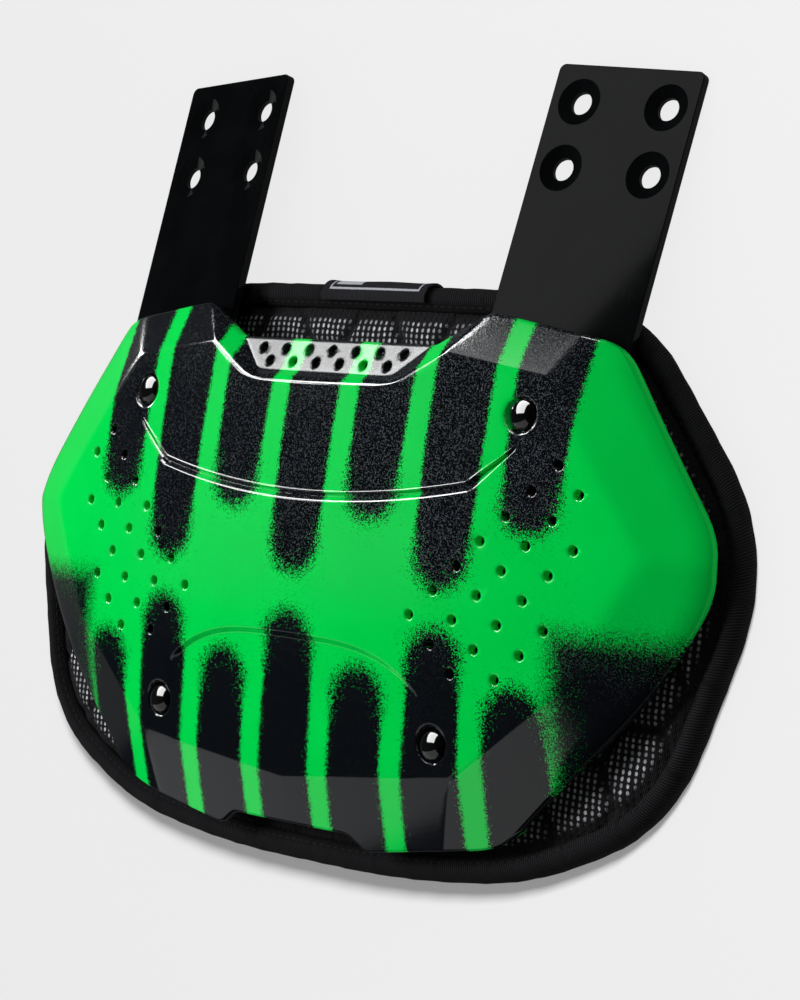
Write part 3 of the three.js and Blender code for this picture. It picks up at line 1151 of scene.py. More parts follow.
@dataclass
class Shell:
    """The hard front plate: a flat sheet that is punched and then formed over its own height."""

    thickness: float = 2.6
    edge_round: float = 0.9
    edge_roll: float = 1.1
    edge_roll_width: float = 5.0
    edge_roll_from: float = 96.0
    edge_roll_run: float = 18.0
    crown: float = 13.8
    crown_y: float = -17.2
    radius_x: float = 696.0
    radius_y: float = 502.0
    recess_y: float = 36.0
    recess_half: float = 28.5
    recess_depth: float = 2.9
    recess_fall: float = 0.42
    recess_side: tuple[float, float] = (0.337, -0.805)
    recess_bottom: float = -1.478
    recess_corner: float = 1.6
    recess_foot: float = 0.35
    recess_slope: float = 0.51
    recess_lip: float = 2.3
    recess_side_lip: float = 0.9
    recess_side_run: float = 5.0
    recess_tab_lip: float = 0.25
    recess_tab_y: float = 43.0
    recess_tab_run: float = 3.0
    dish_lip: float = 6.6
    dish_lip_radius: float = 2.0
    dish_rim: float = 5.3
    dish_floor: float = 4.85
    dish_depth: float = 2.8
    dish_foot: float = 0.5
    dish_edge: float = 0.3
    groove_mid: float = -1.0
    groove_kink: tuple[float, float] = (65.0, 6.0)
    groove_end: tuple[float, float] = (80.5, 18.8)
    groove_kink_round: float = 0.6
    groove_depth: float = 1.15
    groove_fade: float = 3.0
    groove_taper: float = 0.6
    groove_upper: tuple[float, float] = (0.5, 0.8)
    groove_lower: tuple[float, float] = (-2.3, -0.35)
    bead_at: float = 1.12
    bead_width: float = 0.3
    bead_height: float = 0.13
    arch_top: float = -43.8
    arch_depth: float = 1.2
    arch_half: float = 54.0
    arch_sag: float = 13.5
    arch_power: float = 3.6
    arch_step: float = 1.7
    arch_side: tuple[float, float] = (48.0, 56.0)
    arch_run_out: tuple[float, float] = (56.0, 84.0)
    vent_radius: float = 1.4
    vent_pitch: float = 15.8
    recess_vent_radius: float = 1.5
    recess_vent_pitch: float = 10.0
    recess_vent_rows: tuple[tuple[float, int], ...] = ((43.0, 7), (39.0, 6))
    vent_flare: tuple[tuple[float, float], ...] = (
        (0.0, -0.56), (0.06, -0.36), (0.16, -0.23), (0.4, -0.09), (0.64, 0.02))
    punch_radius: float = 0.7
    punch_z: tuple[float, float] = (-6.0, 2.0)
    punch_sides: int = 20
    bore_radius: float = 2.5
    columns: int = 118
    rows: int = 110
    grid_corners: tuple[tuple[float, float], ...] = (
        (80.0, -97.5), (104.5, 50.0), (-104.5, 50.0), (-80.0, -97.5))
    fine_reach: tuple[float, ...] = (4.6, 2.6)
    groove_strip: tuple[float, float] = (-0.2, 2.6)
    bead_strip: tuple[float, float] = (0.6, 1.1)
    sharp_deg: float = 38.0

    def field_height(self, x: np.ndarray | float, y: np.ndarray | float) -> np.ndarray:
        """Returns the height of the domed field."""
        return self.crown - x * x / (2 * self.radius_x) - (y - self.crown_y) ** 2 / (2 * self.radius_y)

    def dish_height(self, seat: tuple[float, float]) -> float:
        """Returns the height of a rivet dish's floor."""
        return float(self.field_height(*seat)) - self.dish_depth

    def groove_line(self, x: np.ndarray) -> np.ndarray:
        """Returns the y of the groove's middle line at each x."""
        across = np.abs(x)
        kink_x, kink_y = self.groove_kink
        end_x, end_y = self.groove_end
        rise = (kink_y - self.groove_mid) / kink_x ** 2
        ramp = (end_y - kink_y) / (end_x - kink_x)
        bowl = self.groove_mid + rise * across ** 2
        straight = kink_y + ramp * (across - kink_x)
        return soft_max(bowl, straight, self.groove_kink_round)

    def groove_offset(self, x: np.ndarray, y: np.ndarray) -> np.ndarray:
        """Returns the distance above the groove's middle line, exact near the groove and rough elsewhere."""
        usual_slant, near_by, past_end, steps = 1.1, 9.0, 4.0, 90
        rough = (y - self.groove_line(x)) / usual_slant
        near = (np.abs(rough) < near_by) & (np.abs(x) < self.groove_end[0] + past_end)
        along = np.linspace(-self.groove_end[0], self.groove_end[0], steps)
        line = np.column_stack([along, self.groove_line(along)])
        offset = rough.copy()
        there_and_back = np.concatenate([line, line[::-1]])
        offset[near] = np.sign(rough[near]) * distance_to(there_and_back, x[near], y[near])
        return offset

    def groove_drop(self, x: np.ndarray, y: np.ndarray) -> np.ndarray:
        """Returns how deep the groove lies: a bead, a steep upper wall, a floor and a rounded lower lip."""
        across = np.abs(x)
        end = self.groove_end[0]
        fade = ease(across, end - self.groove_fade, end)
        width = 1.0 - self.groove_taper * ease(across, self.groove_kink[0], end)
        offset = self.groove_offset(x, y) / width
        upper_wall = 1.0 - ease(offset, *self.groove_upper)
        lip, foot = self.groove_lower
        lower_wall = np.clip((offset - lip) / (foot - lip), 0.0, 1.0) ** 2
        bead = self.bead_height * np.exp(-((offset - self.bead_at) / self.bead_width) ** 2)
        return (self.groove_depth * upper_wall * lower_wall - bead) * (1.0 - fade)

    def arch_line(self, x: np.ndarray) -> np.ndarray:
        """Returns the arch's y at each x."""
        return self.arch_top - self.arch_sag * np.abs(x / self.arch_half) ** self.arch_power

    def arch_drop(self, x: np.ndarray, y: np.ndarray) -> np.ndarray:
        """Returns how far the lower field is stepped in below its arch."""
        below = np.clip((self.arch_line(x) - y) / self.arch_step + 0.5, 0.0, 1.0)
        inside = 1.0 - ease(np.abs(x), *self.arch_side)
        run_out = 1.0 - ease(-y, *self.arch_run_out)
        return self.arch_depth * below * inside * run_out

    def height(self, x: np.ndarray, y: np.ndarray) -> np.ndarray:
        """Returns the height of the formed shell without its groove and arch."""
        drop = np.zeros_like(x)
        for facet in FACETS:
            drop = soft_max(drop, facet.drop(x, y), facet.blend)
        top = self.field_height(x, y) - drop
        low = float(self.field_height(0.0, self.recess_y)) - self.recess_depth
        up = y - self.recess_y
        side_x, side_y = self.recess_side
        walls = soft_max(low + side_x * (np.abs(x) - self.recess_half) + side_y * up,
                         low + self.recess_bottom * up, self.recess_corner)
        pocket = soft_max(walls, low - self.recess_fall * up, self.recess_foot)
        run = self.recess_side_run
        to_side = ease(np.abs(x), self.recess_half - run, self.recess_half + run)
        lip = self.recess_lip + (self.recess_side_lip - self.recess_lip) * to_side
        to_tab = ease(y, self.recess_tab_y, self.recess_tab_y + self.recess_tab_run)
        lip += (self.recess_tab_lip - lip) * to_tab
        top = soft_min(top, pocket, lip)
        for seat_x, seat_y in RIVET_SEATS.values():
            reach = np.hypot(np.abs(x) - seat_x, y - seat_y)
            floor = self.dish_height((seat_x, seat_y))
            steep = self.dish_depth / (self.dish_rim - self.dish_floor)
            inside_lip = np.clip(self.dish_lip - reach, 0.0, self.dish_lip - self.dish_rim)
            top = top - inside_lip ** 2 / (2 * self.dish_lip_radius)
            wall = floor + (reach - self.dish_floor) * steep
            bowl = soft_max(wall, np.full_like(x, floor), self.dish_foot)
            top = soft_min(top, bowl, self.dish_edge)
        return top

    def detail_distance(self, x: np.ndarray, y: np.ndarray) -> np.ndarray:
        """Returns how far points are from a feature that needs a fine mesh, or more where it needs less."""
        tab_extra, hem_extra, corner_extra, arch_extra = 1.0, 1.0, 1.5, 1.2
        dish_inner = 4.6
        wall_middle, wall_half = 1.6, 1.2
        recess_from, recess_to = 28.0, 52.0
        tab, _, _, corner, hem = (facet.distance(x, y) for facet in FACETS)
        across = np.abs(x)
        arch = np.abs(self.arch_line(x) - y) + arch_extra
        recess = np.maximum(np.abs(self.recess_wall(x, y) - wall_middle) - wall_half, 0.0)
        dishes = [np.maximum(0.0, np.hypot(across - seat_x, y - seat_y) - dish_inner)
                  for seat_x, seat_y in RIVET_SEATS.values()]
        return np.minimum.reduce([
            tab + tab_extra,
            hem + hem_extra,
            corner + corner_extra,
            self.groove_distance(x, y),
            np.where(across < self.arch_half, arch, np.inf),
            *dishes,
            np.where((y > recess_from) & (across < recess_to), recess, np.inf),
        ])

    def recess_wall(self, x: np.ndarray, y: np.ndarray) -> np.ndarray:
        """Returns how far points are up the recess's walls, below 0 on its floor."""
        up = y - self.recess_y
        side_x, side_y = self.recess_side
        rise = side_x * (np.abs(x) - self.recess_half) + (side_y + self.recess_fall) * up
        return np.maximum(rise / self.recess_slope, -up)

    def strip_distance(self, x: np.ndarray, y: np.ndarray, middle: float) -> np.ndarray:
        """Returns how far points are from a line that runs beside the groove's, as far as the groove goes."""
        past_end = 1.0
        beside = np.abs(self.groove_offset(x, y) - middle)
        return np.where(np.abs(x) < self.groove_end[0] + past_end, beside, np.inf)

    def groove_distance(self, x: np.ndarray, y: np.ndarray) -> np.ndarray:
        """Returns how far points are from the middle of the groove's walls."""
        return self.strip_distance(x, y, self.groove_strip[0])

    def bead_distance(self, x: np.ndarray, y: np.ndarray) -> np.ndarray:
        """Returns how far points are from the strip between the groove's floor and its bead."""
        return self.strip_distance(x, y, self.bead_strip[0])

    def mark_lips(self, shell: bpy.types.Object, x: np.ndarray, y: np.ndarray) -> None:
        """Marks the polished lips, where the moulded grain runs out, and the duller floor of the recess."""
        polished_to, grained_from = 1.2, 3.2
        floor_edge, floor_from = -0.2, 0.6
        mark(shell, "lip", 1.0 - ease(self.detail_distance(x, y), polished_to, grained_from))
        mark(shell, "pocket", ease(-self.recess_wall(x, y), floor_edge, floor_from) * (y > self.recess_y))

    def vents(self) -> list[tuple[float, float]]:
        """Returns the places of the vents in both side groups."""
        return [(hand.value * (row.inner_x + i * self.vent_pitch), row.y)
                for hand in Hand for row in VENT_ROWS for i in range(row.count)]

    def recess_vents(self) -> list[tuple[float, float]]:
        """Returns the places of the vents in the recess."""
        return [((i - (count - 1) / 2) * self.recess_vent_pitch, y)
                for y, count in self.recess_vent_rows for i in range(count)]

    def vent_profile(self, radius: float) -> list[tuple[float, float]]:
        """Returns the profile of a punch that leaves a rounded rim."""
        low, high = self.punch_z
        flare = [(radius + out, z) for out, z in self.vent_flare]
        return [(radius, low), *flare, (radius + self.punch_radius, high)]

    def build(self) -> bpy.types.Object:
        """Models the shell.

        Returns:
            The finished mesh object, laid on the floor.
        """
        outline = rounded_outline(SHELL_CORNERS)
        ring = grid_ring(outline, self.grid_corners, self.columns, self.rows)
        shell = filled_sheet("shell_formed", ring, self.rows)
        apply_modifier(shell, "SOLIDIFY", thickness=self.thickness * MM, offset=-1.0)
        self.round_rim(shell)
        self.mark_bare(shell)
        for reach in self.fine_reach:
            self.refine(shell, self.detail_distance, reach)
        self.refine(shell, self.groove_distance, self.groove_strip[1])
        self.refine(shell, self.bead_distance, self.bead_strip[1])
        self.punch(shell)
        self.form(shell, outline)
        smooth_shade(shell, self.sharp_deg)
        POSE.lay(shell)
        return shell

    def round_rim(self, shell: bpy.types.Object) -> None:
        """Rounds the two edges of the rim."""
        with editing(shell) as mesh:
            select_edges(shell, mesh, lambda edge: len(edge.link_faces) == 2
                         and edge.calc_face_angle(0.0) > 1.0)
            bpy.ops.mesh.bevel(offset=self.edge_round * MM, segments=4, profile=0.5, clamp_overlap=False)

    @staticmethod
    def mark_bare(shell: bpy.types.Object) -> None:
        """Marks the faces that the spray doesn't reach, on the back."""
        faces_back = -0.8
        centres, normals = faces_of(shell)
        behind = centres[:, 2] < centres[:, 2].mean()
        mark(shell, "bare", (normals[:, 2] < faces_back) & behind, "FACE")

    @staticmethod
    def refine(shell: bpy.types.Object, distance: Callable[[np.ndarray, np.ndarray], np.ndarray],
               reach: float) -> None:
        """Splits the front faces that lie within reach of a fine feature.

        Args:
            shell: the flat shell.
            distance: gives how far points are from the feature.
            reach: the largest distance that is split.
        """
        faces_front = 0.9
        centres, normals = faces_of(shell)
        x, y, _ = (centres / MM).T
        fine = (distance(x, y) < reach) & (normals[:, 2] > faces_front)
        with editing(shell) as mesh:
            bpy.ops.mesh.select_mode(type="FACE")
            for face, chosen in zip(mesh.faces, fine):
                face.select_set(bool(chosen))
            bmesh.update_edit_mesh(shell.data)
            bpy.ops.mesh.subdivide(number_cuts=1)

    def punch(self, shell: bpy.types.Object) -> None:
        """Punches the vents and the rivet bores."""
        bores = [(hand.value * x, y) for hand in Hand for x, y in RIVET_SEATS.values()]
        bore = [(self.bore_radius, z) for z in self.punch_z]
        for name, profile, places in (
            ("vent", self.vent_profile(self.vent_radius), self.vents()),
            ("recess_vent", self.vent_profile(self.recess_vent_radius), self.recess_vents()),
            ("bore", bore, bores),
        ):
            cut_away(shell, copies_at(turned(name, profile, self.punch_sides), places))

    def form(self, shell: bpy.types.Object, outline: np.ndarray) -> None:
        """Presses the flat sheet over the shell's height."""
        x, y, z = (points_of(shell) / MM).T
        height = self.height(x, y)
        front_from, front_to = 0.9, 0.5
        front = ease(z, -self.thickness * front_from, -self.thickness * front_to)
        height -= front * (self.groove_drop(x, y) + self.arch_drop(x, y))
        outer = np.abs(x) > self.edge_roll_from - 1.0
        inwards = np.full(len(x), self.edge_roll_width)
        inwards[outer] = distance_to(outline, x[outer], y[outer])
        share = np.clip(1.0 - inwards / self.edge_roll_width, 0.0, 1.0) ** 2
        to_side = ease(np.abs(x), self.edge_roll_from, self.edge_roll_from + self.edge_roll_run)
        height -= self.edge_roll * share * to_side
        self.mark_lips(shell, x, y)
        move_points(shell, np.column_stack([x, y, z + height]) * MM)

    def dress(self, shell: bpy.types.Object, effects: Effects) -> None:
        """Gives the shell its sprayed finish."""
        hand_over(shell, Slot.SHELL, ShellFinish().material(effects), "shell")


@dataclass
class Strap:
    """One flat strap with four dished screw holes in its free end."""

    hand: Hand
    width: float = 50.8
    thickness: float = 3.0
    tip_y: float = 132.5
    foot_y: float = 14.0
    corner: float = 2.2
    edge: float = 0.28
    dish_radius: float = 7.2
    dish_depth: float = 1.35
    line: tuple[float, float, float] = (82.0, 110.5, -20.1)
    lean_deg: float = 12.4
    toe_deg: float = 6.6
    splay_deg: float = 2.0
    hole_radius: float = 3.5
    hole_across: float = 30.5
    hole_along: float = 20.7
    hole_edge: tuple[tuple[float, float], ...] = ((0.0, -0.12), (0.05, -0.03), (0.16, 0.03))
    dish_edge: tuple[tuple[float, float], ...] = ((-0.12, -0.075), (0.0, -0.015), (0.14, 0.012), (0.3, 1.0))
    hole_sides: int = 40
    bore_radius: float = 2.8
    bore_reach: float = 60.0
    bore_sides: int = 24
    sharp_deg: float = 50.0

    def hole_profile(self) -> list[tuple[float, float]]:
        """Returns the profile of a countersunk hole with softened edges."""
        face, past_face = self.thickness / 2, 1.0
        floor = face - self.dish_depth
        return [(self.hole_radius, -face - past_face),
                *((self.hole_radius + out, floor + up) for out, up in self.hole_edge),
                *((self.dish_radius + out, face + up) for out, up in self.dish_edge)]

    def build(self) -> bpy.types.Object:
        """Models the strap.

        Returns:
            The finished mesh object, laid on the floor.
        """
        tip, foot = self.tip_y - self.line[1], self.foot_y - self.line[1]
        strap = added(f"strap_{self.hand.name.lower()}_moulded", bpy.ops.mesh.primitive_cube_add,
                      size=1.0, location=(0.0, (tip + foot) / 2 * MM, 0.0))
        strap.scale = (self.width * MM, (tip - foot) * MM, self.thickness * MM)
        keep_place(strap)
        with editing(strap) as mesh:
            select_edges(strap, mesh, lambda edge: abs((edge.verts[0].co - edge.verts[1].co).z) > MM)
            bpy.ops.mesh.bevel(offset=self.corner * MM, segments=8, profile=0.5)
        with editing(strap) as mesh:
            select_edges(strap, mesh, lambda edge: edge.calc_face_angle(0.0) > 1.0)
            bpy.ops.mesh.bevel(offset=self.edge * MM, segments=3, profile=0.5)
        places = [(across * self.hole_across / 2, along * self.hole_along / 2)
                  for across in (-1, 1) for along in (-1, 1)]
        cut_away(strap, copies_at(turned("screw_hole", self.hole_profile(), self.hole_sides), places))
        strap.matrix_world = self.place()
        keep_place(strap)
        seat_x, seat_y = RIVET_SEATS["upper"]
        post = [(self.bore_radius, -self.bore_reach), (self.bore_radius, self.bore_reach)]
        bore = turned("bore", post, self.bore_sides)
        cut_away(strap, copies_at(bore, [(self.hand.value * seat_x, seat_y)]))
        smooth_shade(strap, self.sharp_deg)
        apply_modifier(strap, "WEIGHTED_NORMAL", weight=100, keep_sharp=True)
        POSE.lay(strap)
        return strap

    def place(self) -> Matrix:
        """Returns where the strap's free end lies in the drawing."""
        side = self.hand.value
        x, y, z = self.line
        turn = Matrix.Rotation(-math.radians(self.lean_deg), 4, "X")
        turn = turn @ Matrix.Rotation(math.radians(side * self.toe_deg), 4, "Y")
        turn = turn @ Matrix.Rotation(-math.radians(side * self.splay_deg), 4, "Z")
        return Matrix.Translation((side * x * MM, y * MM, z * MM)) @ turn

    def dress(self, strap: bpy.types.Object, material: bpy.types.Material) -> None:
        """Gives the strap its gloss."""
        hand_over(strap, Slot.STRAP, material, f"strap_{self.hand.name.lower()}")


@dataclass
class Rivet:
    """One domed rivet with its post."""

    seat: str
    hand: Hand
    head_radius: float = 4.5
    head_height: float = 3.7
    collar: float = 1.3
    post_radius: float = 2.2
    post_end: float = 3.5
    gap: float = 0.3
    foot_round: tuple[float, float] = (0.2, 0.15)
    dome_steps: int = 16
    dome_open: float = 0.03
    sides: int = 48
    sharp_deg: float = 40.0

    def build(self, shell: Shell, pad: "Pad") -> bpy.types.Object:
        """Models the rivet.

        Args:
            shell: the shell, which gives the height of its dish.
            pad: the pad, which gives the depth of the post.

        Returns:
            The finished mesh object, laid on the floor.
        """
        x, y = RIVET_SEATS[self.seat]
        seat_z = shell.dish_height((x, y)) + self.gap
        end_z = float(pad.middle(x, y)) + pad.thickness / 2 - self.post_end
        swell = self.head_height - self.collar
        dome = [(self.head_radius * math.cos(a), seat_z + self.collar + swell * math.sin(a))
                for a in np.linspace(0.0, math.pi / 2 - self.dome_open, self.dome_steps)]
        in_by, up_by = self.foot_round
        profile = [(self.post_radius, end_z), (self.post_radius, seat_z), (self.head_radius - in_by, seat_z),
                   (self.head_radius, seat_z + up_by), *dome]
        rivet = turned(f"rivet_{self.seat}_{self.hand.name.lower()}_domed", profile, self.sides)
        rivet.location = (self.hand.value * x * MM, y * MM, 0.0)
        keep_place(rivet)
        smooth_shade(rivet, self.sharp_deg)
        POSE.lay(rivet)
        return rivet

    def dress(self, rivet: bpy.types.Object, material: bpy.types.Material) -> None:
        """Gives the rivet its polish."""
        hand_over(rivet, Slot.RIVET, material, f"rivet_{self.seat}_{self.hand.name.lower()}")


@dataclass
class Pad:
    """The quilted foam pad, swollen between its sewn channels by a cloth simulation."""

    thickness: float = 7.0
    near_z: float = -9.0
    near_y: float = -107.0
    climb: float = 0.034
    wrap: float = 5.0
    wrap_x: float = 150.0
    tuck: float = 1.4
    start_thickness: float = 5.0
    voxel: float = 4.0
    cell: float = 23.0
    channel: float = 1.5
    channel_depth: float = 1.3
    swell: float = 1.9
    pressure: float = 4.0
    mass: float = 0.02
    frames: int = 20
    pucker: float = 0.3
    pucker_reach: float = 4.0
    pucker_turns: tuple[float, float] = (0.9, 1.7)
    socket_radius: float = 4.4
    socket_depth: float = 3.9
    border: float = 8.0
    border_share: float = 0.5
    shade_border: float = 6.5
    shade_border_run: float = 1.5
    plain_seam: float = 2.1
    outline_steps: int = 400
    columns: int = 80
    rows: int = 50
    grid_corners: tuple[tuple[float, float], ...] = (
        (112.0, -90.0), (98.0, 52.0), (-98.0, 52.0), (-112.0, -90.0))

    def middle(self, x: np.ndarray | float, y: np.ndarray | float) -> np.ndarray | float:
        """Returns the height of the pad's middle."""
        return self.near_z - self.wrap * (x / self.wrap_x) ** 2 - self.climb * (y - self.near_y)

    def channel_distance(self, x: np.ndarray, y: np.ndarray) -> np.ndarray:
        """Returns how far points are from the sewn edges of the six-sided cells."""
        tall = self.cell * math.sqrt(3.0)
        nearest = np.full((2, len(x)), np.inf)
        for shift in (0.0, 0.5):
            row, column = np.round(y / self.cell - shift), np.round(x / tall - shift)
            for step_y in (-1, 0, 1):
                for step_x in (-1, 0, 1):
                    centre_y = (row + step_y + shift) * self.cell
                    centre_x = (column + step_x + shift) * tall
                    reach = np.hypot(x - centre_x, y - centre_y)
                    nearest[1] = np.minimum(nearest[1], np.maximum(nearest[0], reach))
                    nearest[0] = np.minimum(nearest[0], reach)
        return (nearest[1] ** 2 - nearest[0] ** 2) / (2 * self.cell)

    def build(self) -> bpy.types.Object:
        """Models the pad.

        Returns:
            The finished mesh object, laid on the floor.
        """
        outline = offset_line(spaced_roll(self.outline_steps), -self.tuck)
        ring = grid_ring(outline, self.grid_corners, self.columns, self.rows)
        pad = filled_sheet("pad_quilted", ring, self.rows)
        apply_modifier(pad, "SOLIDIFY", thickness=self.start_thickness * MM, offset=0.0)
        apply_modifier(pad, "REMESH", mode="VOXEL", voxel_size=self.voxel * MM)
        self.inflate(pad)
        apply_modifier(pad, "SUBSURF", levels=2, render_levels=2)
        self.quilt(pad, outline)
        smooth_shade(pad)
        POSE.lay(pad)
        return pad

    def inflate(self, pad: bpy.types.Object) -> None:
        before = points_of(pad)
        x, y, z = (before / MM).T
        edge = self.channel_distance(x, y)
        seams = pad.vertex_groups.new(name="seams")
        for i in np.flatnonzero(edge < self.voxel / 2):
            seams.add([int(i)], 1.0, "REPLACE")
        pick_out(pad)
        cloth = pad.modifiers.new("Swell", "CLOTH")
        cloth.settings.vertex_group_mass = seams.name
        cloth.settings.use_pressure = True
        cloth.settings.uniform_pressure_force = self.pressure
        cloth.settings.mass = self.mass
        cloth.settings.effector_weights.gravity = 0.0
        cloth.point_cache.frame_start = 1
        cloth.point_cache.frame_end = self.frames
        for step in range(1, self.frames + 1):
            bpy.context.scene.frame_set(step)
        bpy.ops.object.modifier_apply(modifier=cloth.name)
        bpy.context.scene.frame_set(1)
        moved = points_of(pad) - before
        reach = np.linalg.norm(moved, axis=1, keepdims=True)
        log.info("pad swelled by up to %.2f mm", float(reach.max()) / MM)
        capped = np.minimum(1.0, self.swell * MM / np.maximum(reach, TINY))
        move_points(pad, before + moved * capped)
        pad.vertex_groups.clear()

    def quilt(self, pad: bpy.types.Object, outline: np.ndarray) -> None:
        """Sews the channels, thins the border and bends the pad to its place."""
        x, y, z = (points_of(pad) / MM).T
        edge = self.channel_distance(x, y)
        face_z, front_from, front_to = 1.5, -0.5, 1.0
        turns_x, turns_y = self.pucker_turns
        side = np.clip(z / face_z, -1.0, 1.0)
        seam = np.exp(-(edge / self.channel) ** 2)
        pucker = self.pucker * np.sin(x * turns_x + y * turns_y) * np.exp(-(edge / self.pucker_reach) ** 2)
        z = z - side * (self.channel_depth * seam + pucker)
        border = distance_to(outline[::4], x, y)
        z = z * (self.border_share + (1.0 - self.border_share) * ease(border, 0.0, self.border))
        for seat_x, seat_y in RIVET_SEATS.values():
            reach = np.hypot(np.abs(x) - seat_x, y - seat_y)
            front = ease(z, front_from, front_to)
            z = z - front * self.socket_depth * np.exp(-(reach / self.socket_radius) ** 4)
        limit = self.thickness / 2
        z = np.clip(z, -limit, limit)
        # The seam mark hides the dots along the sewn channels and, as painted shade, in a band along the
        # border beside the roll.
        sewn = np.exp(-(edge / self.plain_seam) ** 4)
        shaded_hem = 1.0 - ease(border, self.shade_border - self.shade_border_run, self.shade_border)
        mark(pad, "seam", np.maximum(sewn, shaded_hem))
        move_points(pad, np.column_stack([x, y, z + self.middle(x, y)]) * MM)

    def dress(self, pad: bpy.types.Object, effects: Effects) -> None:
        """Gives the pad its mesh cover."""
        hand_over(pad, Slot.PAD, PadFinish().material(effects), "pad")


def spaced_roll(count: int) -> np.ndarray:
    """Returns evenly spaced points of the roll's middle line."""
    line = rounded_outline(ROLL_CORNERS)
    return spaced(np.concatenate([line, line[:1]]), count)[:-1]


def offset_line(line: np.ndarray, out: float) -> np.ndarray:
    """Returns a closed line moved out, or in for a value below 0, in its own plane."""
    return line + out * directions(line)[1]


@dataclass
class Binding:
    """The padded knit roll round the edge of the pad, with the stitches that hold it."""

    radius: float = 3.9
    ring: float = 100.0
    segments: int = 256
    sides: int = 24
    line_steps: int = 480
    gather: float = 0.08
    gathers: int = 61
    wrinkle: float = 0.05
    wrinkles: int = 143
    seam_depth: float = 0.55
    seam_width: float = 0.22
    stitch_pitch: float = 3.0
    stitch_length: float = 2.3
    stitch_width: float = 0.55
    stitch_sunk: float = 0.45
    stitch_turn_deg: float = 128.0

    def build(self, pad: Pad) -> bpy.types.Object:
        """Models the roll.

        Args:
            pad: the pad, which gives the height of the roll's middle line.

        Returns:
            The finished mesh object, laid on the floor.
        """
        # A torus has 256 segments at most, so each of them takes the nearest point of a finer line.
        roll = added("binding_roll", bpy.ops.mesh.primitive_torus_add, major_segments=self.segments,
                     minor_segments=self.sides, major_radius=self.ring * MM, minor_radius=self.radius * MM,
                     generate_uvs=True)
        x, y, z = (points_of(roll) / MM).T
        turn = np.round(np.arctan2(y, x) / math.tau * self.line_steps).astype(int) % self.line_steps
        out = np.hypot(x, y) - self.ring
        line = spaced_roll(self.line_steps)
        _, outward = directions(line)
        phase = turn / self.line_steps * math.tau
        around = np.arctan2(z, out)
        pull = self.gather * np.sin(phase * self.gathers + 2 * around)
        pull += self.wrinkle * np.sin(phase * self.wrinkles + 1.3) * np.cos(around)
        from_seam = np.abs(around) - math.radians(self.stitch_turn_deg)
        tuck = self.seam_depth * np.exp(-(from_seam / self.seam_width) ** 2)
        slack = 1.0 + (pull - tuck) / self.radius
        spot = line[turn] + outward[turn] * (out * slack)[:, None]
        height = z * slack + pad.middle(line[turn, 0], line[turn, 1])
        move_points(roll, np.column_stack([spot, height]) * MM)
        smooth_shade(roll)
        POSE.lay(roll)
        self.flatten(roll)
        return roll

    @staticmethod
    def flatten(piece: bpy.types.Object) -> None:
        """Flattens a soft piece where it rests on the floor."""
        points = points_of(piece)
        points[:, 2] = np.maximum(points[:, 2], 0.0)
        move_points(piece, points)

    def stitches(self, pad: Pad) -> bpy.types.Object:
        """Models the row of stitches along the inner edge of the roll's front.

        Args:
            pad: the pad, which gives the height of the roll's middle line.

        Returns:
            One mesh object that holds all of them, laid on the floor.
        """
        row = added("binding_stitches", bpy.ops.mesh.primitive_uv_sphere_add, segments=8, ring_count=5,
                    radius=0.5 * MM)
        shape = points_of(row) / MM
        shape = shape * (self.stitch_length, self.stitch_width, self.stitch_width)
        count = int(closed_length(rounded_outline(ROLL_CORNERS)) / self.stitch_pitch)
        line = spaced_roll(count)
        along, outward = directions(line)
        angle = math.radians(self.stitch_turn_deg)
        reach = self.radius - self.stitch_sunk
        foot = line + outward * reach * math.cos(angle)
        lift = pad.middle(line[:, 0], line[:, 1]) + reach * math.sin(angle)
        spots = []
        for i in range(count):
            flat = foot[i] + np.outer(shape[:, 0], along[i]) - np.outer(shape[:, 1], outward[i])
            spots.append(np.column_stack([flat, shape[:, 2] + lift[i]]))
        self.repeat_mesh(row, np.concatenate(spots), count)
        smooth_shade(row)
        POSE.lay(row)
        return row

    @staticmethod
    def repeat_mesh(piece: bpy.types.Object, points: np.ndarray, count: int) -> None:
        """Swaps a small mesh for many joined copies of it.

        Args:
            piece: the object whose mesh is repeated.
            points: the copies' vertices in millimetres, copy after copy.
            count: how many copies there are.
        """
        single = piece.data
        size = len(single.vertices)
        faces = [tuple(v + i * size for v in face.vertices)
                 for i in range(count) for face in single.polygons]
        mesh = bpy.data.meshes.new(piece.name)
        mesh.from_pydata(points * MM, [], faces)
        piece.data = mesh

    def dress(self, roll: bpy.types.Object, row: bpy.types.Object, effects: Effects) -> None:
        """Gives the roll its knit and the stitches their thread."""
        knit = KnitFinish(
            "binding_knit", color=(0.001, 0.001, 0.0011, 1.0), lit_ridge=(0.022, 0.022, 0.024, 1.0),
            length=closed_length(rounded_outline(ROLL_CORNERS)), girth=math.tau * self.radius,
            pitch=0.76, loop=1.1, depth=0.22)
        hand_over(roll, Slot.BINDING, knit.material(effects), "binding")
        thread = GlossFinish("seam_thread", color=(0.018, 0.018, 0.018, 1.0), roughness=0.7, scuffed=0.2,
                             ripple=0.05, ripple_size=0.4)
        hand_over(row, Slot.BINDING, thread.material(effects))


